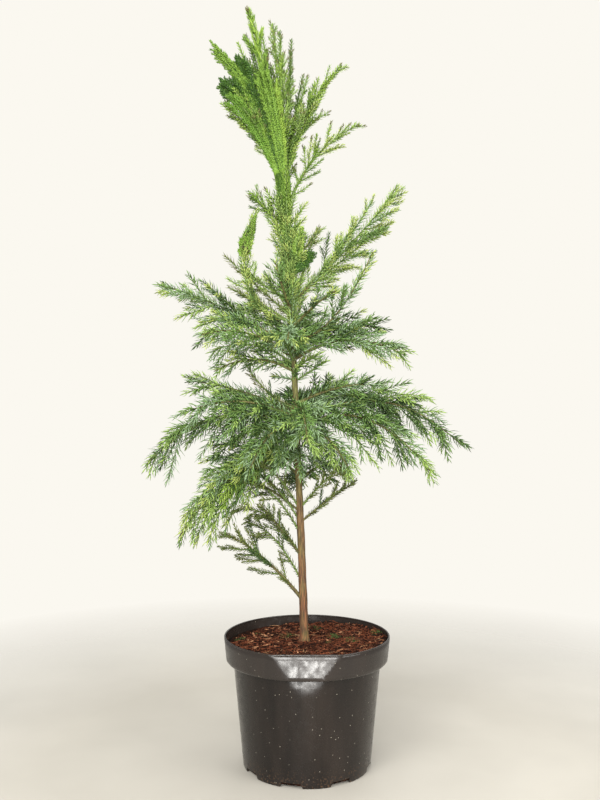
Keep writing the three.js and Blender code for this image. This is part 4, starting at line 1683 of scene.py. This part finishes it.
COLLARS = (
    Collar("heart_low", Storey.WHORL, Habit.BRUSH, 352, 398, 13, (36, 62), (-34, -8), 28, 0.6, 3, lift=8),
    Collar("heart_middle", Storey.MIDDLE, Habit.BRUSH, 436, 494, 17, (26, 46), (4, 30), 24, 0.1, 5),
    Collar("column", Storey.UPPER, Habit.FLUFF, 496, 590, 32, (8, 19), (30, 54), 12, -0.1, 7),
    Collar("neck", Storey.UPPER, Habit.FLUFF, 584, 632, 13, (13, 27), (14, 32), 11, -0.2, 9),
)
FILLERS = (
    *boughs_of(
        Storey.LOW, Habit.ROPE,
        ("rope_fill_a", 262, 187, 92, 316, 30, 28, 0.6),
        ("rope_fill_b", 276, 178, 86, 338, 22, 28, 0.6),
        ("rope_fill_c", 236, 194, 82, 290, 22, 26, 0.6),
        ("rope_fill_d", 290, 200, 56, 346, 12, 22, 0.6),
        ("rope_fill_e", 206, 177, 66, 276, 16, 24, 0.4),
        ("rope_fill_f", 292, 350, 54, 344, 4, 20, -0.1),
        fine=True,
    ),
    *boughs_of(
        Storey.LOW, Habit.FEATHER,
        ("low_fill_c", 350, 184, 124, 282, 40, 48, 0.7),
        ("low_fill_d", 348, 197, 134, 280, 36, 48, 0.7),
        ("low_fill_e", 346, 190, 100, 270, 32, 46, 0.7),
        ("low_fill_f", 344, 187, 86, 262, 40, 36, 0.9),
        ("low_fill_g", 346, 194, 106, 256, 44, 38, 0.9),
        ("low_fill_h", 348, 186, 120, 252, 46, 38, 0.9),
        fine=True,
    ),
    *boughs_of(
        Storey.WHORL, Habit.FEATHER,
        ("whorl_fill_a", 392, 214, 98, 372, 24, 44, 0.6),
        ("whorl_fill_b", 384, 226, 86, 350, 22, 40, 0.7),
        ("whorl_fill_c", 398, 191, 108, 386, 22, 44, 0.5),
        ("whorl_fill_d", 372, 252, 70, 338, 18, 36, 0.7),
        ("whorl_fill_e", 374, 194, 98, 348, 22, 42, 0.7),
        ("whorl_fill_f", 392, 350, 122, 370, 28, 46, 0.6),
        ("whorl_fill_g", 386, 322, 104, 350, 24, 42, 0.6),
        ("whorl_fill_h", 400, 9, 112, 406, 20, 40, 0.4),
        ("whorl_fill_i", 390, 70, 106, 380, 24, 42, 0.5),
        ("whorl_fill_j", 386, 106, 104, 372, 24, 42, 0.5),
        ("whorl_fill_k", 394, 146, 108, 384, 22, 42, 0.5),
        fine=True,
    ),
    *boughs_of(
        Storey.WHORL, Habit.WISP,
        ("whorl_upright", 408, 178, 74, 486, -16, 15, -0.2),
        fine=True,
    ),
    *boughs_of(
        Storey.MIDDLE, Habit.PLUME,
        ("middle_fill_a", 470, 182, 108, 506, 16, 44, 0.3),
        ("middle_fill_b", 480, 169, 94, 524, 14, 42, 0.2),
        ("middle_fill_c", 458, 197, 98, 470, 16, 40, 0.4),
        ("middle_fill_d", 468, 349, 94, 474, 16, 38, 0.4),
        ("middle_fill_e", 478, 13, 86, 500, 12, 36, 0.3),
        ("middle_fill_f", 476, 64, 84, 500, 14, 36, 0.3),
        ("middle_fill_g", 470, 112, 88, 494, 16, 38, 0.3),
        fine=True,
    ),
    *boughs_of(
        Storey.TOP, Habit.FLUFF,
        ("neck_fill_a", 614, 184, 42, 650, 3, 16, -0.1),
        ("neck_fill_b", 618, 190, 26, 660, 0, 14, -0.1),
        fine=True,
    ),
    *boughs_of(
        Storey.UPPER, Habit.FLUFF,
        ("upper_fill_a", 530, 0, 116, 624, 1, 34, 0.0),
        ("upper_fill_b", 530, 356, 94, 646, -9, 32, 0.0),
        fine=True,
    ),
    *boughs_of(
        Storey.UPPER, Habit.WISP,
        ("upper_wisp_left", 512, 181, 78, 584, 0, 15, -0.2),
        ("upper_wisp_low", 506, 190, 74, 546, 2, 14, -0.1),
        ("upper_wisp_right", 556, 350, 34, 616, -6, 10, -0.2),
        fine=True,
    ),
)


# ---------------------------------------------------------------- foliage


STOREY_TINTS = {  # how many sprays come in each tint
    Storey.LOW: {Tint.GREEN: 5, Tint.FRESH: 3, Tint.BLUE_GREEN: 2, Tint.LIME: 1},
    Storey.WHORL: {Tint.GREEN: 5, Tint.BLUE_GREEN: 4, Tint.DEEP: 3, Tint.FRESH: 1},
    Storey.MIDDLE: {Tint.GREEN: 4, Tint.BLUE_GREEN: 5, Tint.DEEP: 1, Tint.FRESH: 2},
    Storey.UPPER: {Tint.GREEN: 3, Tint.FRESH: 6, Tint.TIP: 3, Tint.BLUE_GREEN: 1},
    # the BRIGHT_DEEP share paints shade among the top's sprays
    Storey.TOP: {Tint.BRIGHT: 5, Tint.BRIGHT_DEEP: 3, Tint.LIME: 2},
}
HABIT_TINTS = {  # the same, for habits with tints of their own
    Habit.ROPE: {Tint.OLIVE: 4, Tint.OLIVE_DEEP: 4, Tint.DEEP: 1},
    Habit.WISP: {Tint.OLIVE: 2, Tint.DEEP: 2, Tint.BRONZE: 1},
    Habit.SPIRE: {Tint.LIME: 3, Tint.BRIGHT: 2},
    Habit.SLIM: {Tint.BRIGHT: 3, Tint.LIME: 4, Tint.FRESH: 4, Tint.TIP: 3},
    # the sheaf's darker tints paint shade between the crest's ribbons
    Habit.SHEAF: {Tint.BRIGHT: 4, Tint.BRIGHT_DEEP: 5, Tint.LIME: 3, Tint.CREST_DEEP: 2},
}
BESIDE = {  # the tint of a spray's odd needles
    Tint.TIP: Tint.FRESH, Tint.LIME: Tint.BRIGHT, Tint.BRIGHT: Tint.BRIGHT_DEEP,
    Tint.BRIGHT_DEEP: Tint.BRIGHT, Tint.FRESH: Tint.GREEN, Tint.GREEN: Tint.DEEP,
    Tint.BLUE_GREEN: Tint.GREEN, Tint.DEEP: Tint.GREEN, Tint.CREST: Tint.BRIGHT,
    Tint.CREST_DEEP: Tint.CREST, Tint.OLIVE: Tint.OLIVE_DEEP, Tint.OLIVE_DEEP: Tint.OLIVE,
    Tint.BRONZE: Tint.OLIVE,
}
YOUNG_ENDS = {  # the tint of shoots' young ends, their length, and the share of shoots that have one
    Storey.LOW: (Tint.TIP, 11, 0.35),
    Storey.WHORL: (Tint.FRESH, 12, 0.3),
    Storey.MIDDLE: (Tint.TIP, 9, 0.25),
    Storey.UPPER: (Tint.TIP, 10, 0.5),
    Storey.TOP: (Tint.BRONZE, 4, 0.35),
}
UNTIPPED = (Habit.ROPE, Habit.WISP, Habit.BOUND, Habit.FUSED)
SLOTS = {Storey.TOP: "needles_bright", Storey.LOW: "needles_olive"}  # needles_green elsewhere


@dataclass(frozen=True)
class Spray:
    """What the shoots of one spray have in common."""

    bough: Bough
    growth: Growth
    tint: Tint
    stream: Stream  # where their unevenness comes from


class Foliage:
    """All sprays of needles and the twigs under them, gathered by storey and tint."""

    rank_turn = 143.0  # degrees from needle to needle: five slowly winding ranks
    fine_room = 1.6
    fine_droop = 0.5  # droop of finer twigs against the rule's
    least_twig = 7.0
    least_twiglet = 5.0
    odd_needles = 0.14  # share of needles in the tint beside a spray's own
    fine_foot = 1.2  # radius at the foot of stems too fine for the frame
    slender_foot = 1.45  # of ropes, and of boughs with a limb
    stout_foot = 1.9  # and of the other boughs
    stem_tip = 0.6
    stem_sides = 7
    ring_steps = (5.0, 7.0)  # length between the rings of stems, and of shoots
    twiglet_size = (0.75, 0.88)  # a twiglet's radius and needles against its twig's
    trunk_seed = 71
    trunk_coats = 3
    clothed_from = 498.0  # height above which the trunk itself bears needles
    clothed_step = 26.0

    def __init__(self, rule: GrowthRule) -> None:
        """Plan the plant by the frame's rule, then the collars, fillers and sheaf.

        Args:
            rule: The frame's rule.
        """
        self.rule = rule
        self.plans, self.laid = rule.plan()
        self.needles: dict[tuple[Storey, Tint], Skins] = defaultdict(Skins)
        self.stems: dict[tuple[Storey, StemTone], Skins] = defaultdict(Skins)
        self.shoot_length = 0.0
        shoots = [shoot for collar in COLLARS for shoot in collar.shoots()]
        lines = [(shoot, rule.stem(shoot)) for shoot in (*shoots, *FILLERS)]
        for shoot, stem in (*lines, *Sheaf().shoots(rule.trunk)):
            self.plans.append(Plan(shoot, stem, rule.first_seed + rule.seed_step * len(self.plans), []))

    def build(self) -> None:
        """Grow every bough, clothe the trunk, then make the pieces."""
        for plan in self.plans:
            self.grow_bough(plan)
        self.clothe_trunk()
        Crest().grow(self)
        log.info("%.1f m of shoots", self.shoot_length * MM)
        self.make_pieces()

    def pick_tint(self, bough: Bough, along: float, stream: Stream) -> Tint:
        """Choose a spray's tint: fresher towards a bough's tip, and often dark near its foot, partly for
        older needles and partly as painted shade.

        Args:
            bough: The bough that it grows on.
            along: Share of the leafy stem at which it grows.
            stream: Where the choice comes from.

        Returns:
            The tint.
        """
        top = bough.storey is Storey.TOP
        if bough.habit not in HABIT_TINTS:
            # painted shade: sprays near a bough's foot often take the dark tint
            shade = 0.2 if bough.storey is Storey.UPPER else 0.45
            if along < 0.4 and stream.uniform() < shade:
                return Tint.BRIGHT_DEEP if top else Tint.DEEP
            if stream.uniform() < max(0, along - 0.66) * 0.9:
                return Tint.LIME if top else Tint.FRESH
        shares = HABIT_TINTS.get(bough.habit, STOREY_TINTS[bough.storey])
        weights = np.array(list(shares.values()), float)
        return list(shares)[stream.choice(len(shares), p=weights / weights.sum())]

    def grow_bough(self, plan: Plan) -> None:
        """Grow one bough's stem, its twigs and their twiglets.

        Args:
            plan: The bough's plan.
        """
        bough, growth = plan.bough, plan.bough.habit.value
        thin, short = self.twiglet_size
        stream = np.random.default_rng(plan.seed + 7)
        self.add_stem(plan, stream)
        for bend, along in plan.twigs + self.finer_twigs(plan, stream):
            spray = Spray(bough, growth, self.pick_tint(bough, along, stream), stream)
            self.add_shoot(bend, spray, growth.twig_radius)
            for twiglet in self.twiglets(bend, bough, stream):
                self.add_shoot(twiglet, spray, growth.twig_radius * thin, short)

    def add_stem(self, plan: Plan, stream: Stream) -> None:
        """Grow a bough's own stem from its bare limb or the trunk, and clothe it in needles.

        Args:
            plan: The bough's plan.
            stream: Where its unevenness comes from.
        """
        bough = plan.bough
        green = bough.fine or bough.storey in (Storey.TOP, Storey.UPPER)
        slender = bough.is_limb or bough.habit is Habit.ROPE
        foot = self.fine_foot if bough.fine else self.slender_foot if slender else self.stout_foot
        start = bough.bare if bough.is_limb else 0.0
        skins = self.stems[bough.storey, StemTone.GREEN if green else StemTone.WOODY]
        skins.add_tube(
            plan.stem, start, foot, self.stem_tip, self.stem_sides, self.ring_steps[0], bough.azimuth)
        spray = Spray(bough, bough.habit.value, self.pick_tint(bough, 0.5, stream), stream)
        self.add_needles(plan.stem, spray, 0.03 if bough.fine else 0.08, foot * 0.7, 1.05)

    def clothe_trunk(self) -> None:
        """Set needles on the trunk's upper part."""
        trunk, stream = self.rule.trunk, np.random.default_rng(self.trunk_seed)
        for height in np.arange(self.clothed_from, trunk.tip, self.clothed_step):
            top = min(height + self.clothed_step, trunk.tip)
            bend = Bend(trunk.point(height), trunk.point((height + top) / 2), trunk.point(top))
            slim = height > Sheaf.low_foot
            storey, habit = (Storey.TOP, Habit.BOUND) if slim else (Storey.UPPER, Habit.FLUFF)
            host = Bough(storey, Habit.BRUSH, "trunk", height, 90, 1, top, 0, 1, 0)
            for _ in range(self.trunk_coats):
                spray = Spray(host, habit.value, self.pick_tint(host, 0.3, stream), stream)
                self.add_needles(bend, spray, 0, trunk.radius(height), whole=True)

    def finer_twigs(self, plan: Plan, stream: Stream) -> list[tuple[Bend, float]]:
        """Draw the twigs that stand between those of the rule.

        Args:
            plan: The bough's plan.
            stream: Where their places come from.

        Returns:
            The twigs that fit, and the shares of the leafy stem at which they leave.
        """
        bough, stem, growth = plan.bough, plan.stem, plan.bough.habit.value
        first = bough.bare if bough.habit is Habit.SHEAF else min(bough.bare, 0.14)
        count = round(stem.length() * (1 - first) / growth.twig_gap)
        found = []
        for i in range(count):
            along = (i + stream.uniform(0.1, 0.9)) / count
            roll = (i % 2) * 180 + stream.uniform(-80, 80)
            turn = stream.uniform(0, 360) if bough.round else roll
            lean = lerp(*growth.twig_lean, along) + stream.uniform(-8, 8)
            length = bough.twig * self.rule.twig_share(along) * growth.twig_share * stream.uniform(0.7, 1.1)
            bend = self.fine_line(stem, lerp(first, 0.98, along), bough, turn, lean, length, self.least_twig)
            found += [(bend, along)] if bend else []
        return found

    def twiglets(self, twig: Bend, bough: Bough, stream: Stream) -> list[Bend]:
        """Draw the small shoots on both sides of a twig.

        Args:
            twig: The twig.
            bough: Its bough.
            stream: Where their places come from.

        Returns:
            The lines of the small shoots that fit.
        """
        growth, length = bough.habit.value, twig.length()
        count = int(length * 0.8 / growth.twiglet_gap)
        first = stream.integers(2)
        found = []
        for i in range(count):
            along = (i + stream.uniform(0.25, 0.75)) / count
            turn = ((i + first) % 2) * 180 + stream.uniform(-45, 45)
            lean = stream.uniform(32, 46)
            size = length * growth.twiglet_share * lerp(1, 0.5, along) * stream.uniform(0.75, 1.2)
            bend = self.fine_line(twig, lerp(0.18, 0.92, along), bough, turn, lean, size, self.least_twiglet)
            found += [bend] if bend else []
        return found

    def fine_line(self, line: Bend, t: float, bough: Bough, turn: float, lean: float, length: float,
                  least: float) -> Bend | None:
        """Find the line of a finer twig, and fit it among what is laid.

        Args:
            line: The line that it grows from.
            t: Share of that line at which it leaves.
            bough: Its bough.
            turn: Degrees round the line to its side.
            lean: Degrees between the line and the twig.
            length: Its length.
            least: The length below which it is given up.

        Returns:
            The twig's line, or nothing.
        """
        bend = side_line(line, t, bough.azimuth, turn, lean, length, bough.droop * self.fine_droop)
        return self.rule.fitted(bend, bough.name, self.laid, self.fine_room, least)

    def add_shoot(self, bend: Bend, spray: Spray, radius: float, scale: float = 1.0) -> None:
        """Grow one shoot: its green stem and the needles round it.

        Args:
            bend: Its line.
            spray: The spray that it belongs to.
            radius: Its stem's radius at the foot.
            scale: Length of its needles against the habit's own.
        """
        bough, (fused_step, step) = spray.bough, self.ring_steps
        if bough.habit is Habit.FUSED:
            sides, skins = 6 if radius > 1 else 4, self.needles[bough.storey, spray.tint]
            skins.add_tube(bend, 0.0, radius, radius * 0.6, sides, fused_step)
        else:
            skins = self.stems[bough.storey, StemTone.GREEN]
            skins.add_tube(bend, 0.0, radius, radius * 0.4, 4, step, bough.azimuth)
        self.add_needles(bend, spray, 0.04, radius * 0.6, scale)

    def add_needles(self, bend: Bend, spray: Spray, first: float, foot_radius: float,
                    scale: float = 1.0, whole: bool = False) -> None:
        """Set needles spirally round a line, shorter and closer at its tip.

        Args:
            bend: The line.
            spray: The spray that it belongs to.
            first: Share of the line at which they begin.
            foot_radius: How far from the line they stand.
            scale: Their length against the habit's own.
            whole: Whether the line goes on past its end, so that its last needles are full-grown.
        """
        bough, growth, stream = spray.bough, spray.growth, spray.stream
        length = bend.length() * (1 - first)
        count = max(6, int(length / growth.spacing))
        self.shoot_length += length
        along = (np.arange(count) + 0.5) / count
        at = lerp(first, 1, along)
        tangents = bend.tangents(at)
        level, upper = across(tangents, bough.azimuth)
        turn = self.rank_turn * np.arange(count) + stream.uniform(0, 360) + stream.normal(0, 7, count)
        turn = np.radians(turn)
        spokes = level * np.cos(turn)[:, None] + upper * np.sin(turn)[:, None]
        from_tip = length * (1 - along)
        close = np.ones(count) if whole else np.clip(from_tip / (growth.needle * 1.4), 0, 1)
        young = np.ones(count) if whole else np.clip(length * along / (growth.needle * 1.2), 0.6, 1)
        sizes = growth.needle * scale * lerp(0.55, 1.0, close) * young * stream.uniform(0.82, 1.12, count)
        ways = []
        for spread, least in ((growth.spread, 0.45), (growth.tip_spread, 0.35)):
            angle = np.radians(spread * lerp(least, 1.0, close) + stream.normal(0, 5, count))
            ways.append(tangents * np.cos(angle)[:, None] + spokes * np.sin(angle)[:, None])
        feet = bend.points(at) + spokes * foot_radius
        widths = growth.half_width * stream.uniform(0.85, 1.15, count)
        odd = stream.uniform(size=count) < self.odd_needles
        young_tint, young_length, young_share = YOUNG_ENDS[bough.storey]
        tipped = not (whole or bough.habit in UNTIPPED) and stream.uniform() < young_share
        at_tip = (from_tip < young_length) & tipped
        groups = ((spray.tint, ~odd & ~at_tip), (BESIDE[spray.tint], odd & ~at_tip), (young_tint, at_tip))
        for tint, group in groups:
            if group.any():
                rows = (row[group] for row in (feet, *ways, sizes, widths))
                self.needles[bough.storey, tint].add_needles(*rows)

    def make_pieces(self) -> None:
        """Turn what was gathered into pieces, each with one finish, in place of their storey's masses."""
        finishes = {tint: Leafage(f"needles_{tint.name.lower()}", tint.value).make() for tint in Tint}
        finishes |= {
            StemTone.GREEN: Leafage("twig_green", StemTone.GREEN.value, 0.6).make(),
            StemTone.WOODY: Bark("twig_bark", linear(108, 100, 52), linear(100, 106, 54)).make(),
        }
        for kind, gathered in (("needles", self.needles), ("twigs", self.stems)):
            for (storey, tone), skins in sorted(gathered.items(), key=lambda item: str(item[0])):
                masses = [plan.bough for plan in self.plans if not plan.bough.fine]
                nodes = [f"mass_{bough.name}" for bough in masses if bough.storey is storey]
                slot = SLOTS.get(storey, "needles_green") if kind == "needles" else "bough_bark"
                name = f"{kind}_{storey.value}_{tone.name.lower()}"
                skins.make(name, finishes[tone], slot, nodes).data.shade_smooth()


# ---------------------------------------------------------------- crested growth


@dataclass(frozen=True)
class Fan:
    """One flattened, crested shoot: many shoots fused side by side, from a narrow foot to a folded head."""

    foot: tuple[float, float, float]
    bend: tuple[float, float, float]
    head: tuple[float, float, float]
    widths: tuple[float, float, float]  # half its width at foot, bend and head
    lines: int
    tint: Tint
    fold: float = 0.6
    folds: float = 1.0
    rounded: float = 4.0
    stalk: float = 0.0  # height at which its stalk leaves the trunk, if it has one
    # a darker streak is painted shade between the fused shoots
    streak: Tint | None = None  # tint of every third line
    needles: float = 0.8  # length of its teeth's needles against the habit's own
    teeth: tuple[float, float] = (0.6, 1.0)  # its teeth's size at its foot and at its head

    def line(self, share: float, facing: float) -> Bend:
        """Find one of the fused shoots.

        Args:
            share: Its place across the fan, from -1 to 1.
            facing: The azimuth that the fan faces.

        Returns:
            Its line.
        """
        middle_line = Bend(self.foot, self.bend, self.head)
        way = unit(middle_line.end - middle_line.start)
        outward = compass(facing)
        outward = unit(outward - way * np.dot(way, outward))
        aside = np.cross(outward, way)
        places = []
        for t, width in zip((0.0, 0.5, 1.0), self.widths):
            wave = self.fold * 2 * t * math.sin(self.folds * math.pi * share + 0.7 + 1.2 * t)
            drawn_in = self.rounded * t * share * share
            places.append(middle_line.points(t) + aside * share * width + outward * wave - way * drawn_in)
        start, half, end = places
        return Bend(start, 2 * half - (start + end) / 2, end)


@dataclass
class Crest:
    """The crested growth: flattened ribbons of fused shoots with folded heads."""

    fans: tuple[Fan, ...] = (
        Fan((-34, -7, 676), (-51, -17, 773), (-111, -16, 826), (2.0, 4.6, 1.4), 4,
            Tint.BRIGHT, 0.8, 1, 9, 604),
        Fan((-36, -4, 680), (-57, -12, 736), (-92, -15, 767), (1.4, 3.6, 5.0), 4,
            Tint.CREST, 1.2, 2, 5, 598),
        Fan((-28, -10, 678), (-36, -24, 738), (-53, -31, 790), (2.0, 4.0, 6.4), 7,
            Tint.BRIGHT, 1.2, 2, 7, 610, streak=Tint.BRIGHT_DEEP),
        Fan((-26, -8, 676), (-29, -18, 726), (-35, -23, 774), (1.0, 2.0, 1.4), 3,
            Tint.LIME, 0.6, 1, 6, 600),
        Fan((-32, -7, 678), (-44, -15, 738), (-70, -18, 782), (1.2, 2.8, 3.6), 3,
            Tint.CREST_DEEP, 0.8, 1, 6, 606),
        Fan((-32, 4, 676), (-46, 12, 744), (-80, 17, 806), (1.6, 3.8, 2.4), 4, Tint.CREST, 0.8, 1, 8, 600),
        Fan((-26, 6, 676), (-30, 16, 736), (-42, 21, 790), (1.6, 3.6, 3.0), 4, Tint.BRIGHT, 0.8, 1, 6, 604),
        # the folded heads take the dark crest tint as painted shade
        Fan((-64, -7, 768), (-71, -12, 784), (-80, -14, 806), (4.0, 8.0, 8.5), 11,
            Tint.CREST_DEEP, 2.6, 2.2, 8),
        Fan((-64, -7, 752), (-80, -12, 766), (-99, -13, 780), (4.0, 8.0, 10.0), 11,
            Tint.CREST_DEEP, 2.6, 2.2, 9),
        Fan((-74, -13, 580), (-66, -14, 606), (-58, -14, 627), (2.6, 4.6, 0.4), 7, Tint.BRIGHT, rounded=9,
            streak=Tint.OLIVE_DEEP, needles=1.5, teeth=(1.1, 0.3)),
        Fan((-13, -11, 580), (-9, -17, 599), (-5, -17, 614), (1.6, 3.8, 1.0), 5, Tint.LIME, 0.8, 1.4, 6,
            streak=Tint.BRIGHT, teeth=(0.9, 0.4)),
        Fan((-12, -11, 564), (-1, -14, 576), (7, -13, 586), (2.0, 4.4, 4.6), 6,
            Tint.CREST_DEEP, 1.8, 2.4, 5),
    )
    facing: float = 264.0
    tooth_gap: float = 5.0
    tooth_lengths: tuple[float, float] = (3.5, 8.0)
    tooth_radius: float = 0.8
    seed: int = 83

    def grow(self, foliage: Foliage) -> None:
        """Add every fan's fused shoots to the foliage.

        Args:
            foliage: Where the shoots are gathered.
        """
        stream = np.random.default_rng(self.seed)
        for number, fan in enumerate(self.fans):
            storey = Storey.TOP if fan.foot[2] > Sheaf.high_foot else Storey.UPPER
            low, high = fan.foot[2], fan.head[2]
            host = Bough(storey, Habit.FUSED, f"crest_{number}", low, self.facing, 1, high, 0, 1, 0)
            for index, share in enumerate(np.linspace(-1, 1, fan.lines)):
                tint = fan.streak if fan.streak and index % 3 == 1 else fan.tint
                self.grow_line(foliage, fan, share, Spray(host, Habit.FUSED.value, tint, stream))

    def grow_line(self, foliage: Foliage, fan: Fan, share: float, spray: Spray) -> None:
        """Grow one fused shoot with its stalk and its teeth.

        Args:
            foliage: Where the shoots are gathered.
            fan: The fan that it belongs to.
            share: Its place across the fan, from -1 to 1.
            spray: What it has in common with its teeth.
        """
        stream, radius = spray.stream, spray.growth.twig_radius
        bend = fan.line(share, self.facing).shortened(stream.uniform(0.92, 1.0))
        foliage.add_shoot(bend, spray, radius)
        if fan.stalk:
            foot = foliage.rule.trunk.point(fan.stalk)
            rise = bend.start[2] - foot[2]
            stalk = Bend(foot, bend.start - bend.tangents(0) * rise * 0.4, bend.start)
            bound = replace(spray, growth=Habit.BOUND.value, tint=BESIDE[spray.tint])
            foliage.add_shoot(stalk, bound, radius * 0.8)
        count = int(bend.length() / self.tooth_gap)
        for i in range(count):
            t = (i + stream.uniform(0.3, 0.7)) / count
            turn = (-90 * (1 + share) + stream.uniform(-40, 40)) * (-1) ** i
            size = stream.uniform(*self.tooth_lengths) * lerp(*fan.teeth, t)
            tooth = side_line(bend, t, self.facing, turn, stream.uniform(26, 42), size, 0)
            foliage.add_shoot(tooth, spray, self.tooth_radius, fan.needles)


# ---------------------------------------------------------------- putting it together


def main() -> None:
    """Build the studio, the pot, its soil, the wood and the foliage."""
    logging.basicConfig(level=logging.INFO, format="%(name)s: %(message)s")
    Studio().build()
    pot = NurseryPot()
    pot.build()
    PottingSoil(pot).build()
    rule = GrowthRule(Trunk())
    foliage = Foliage(rule)
    BarkedWood(rule.trunk).build(foliage.plans)
    foliage.build()


if __name__ == "__main__":
    main()
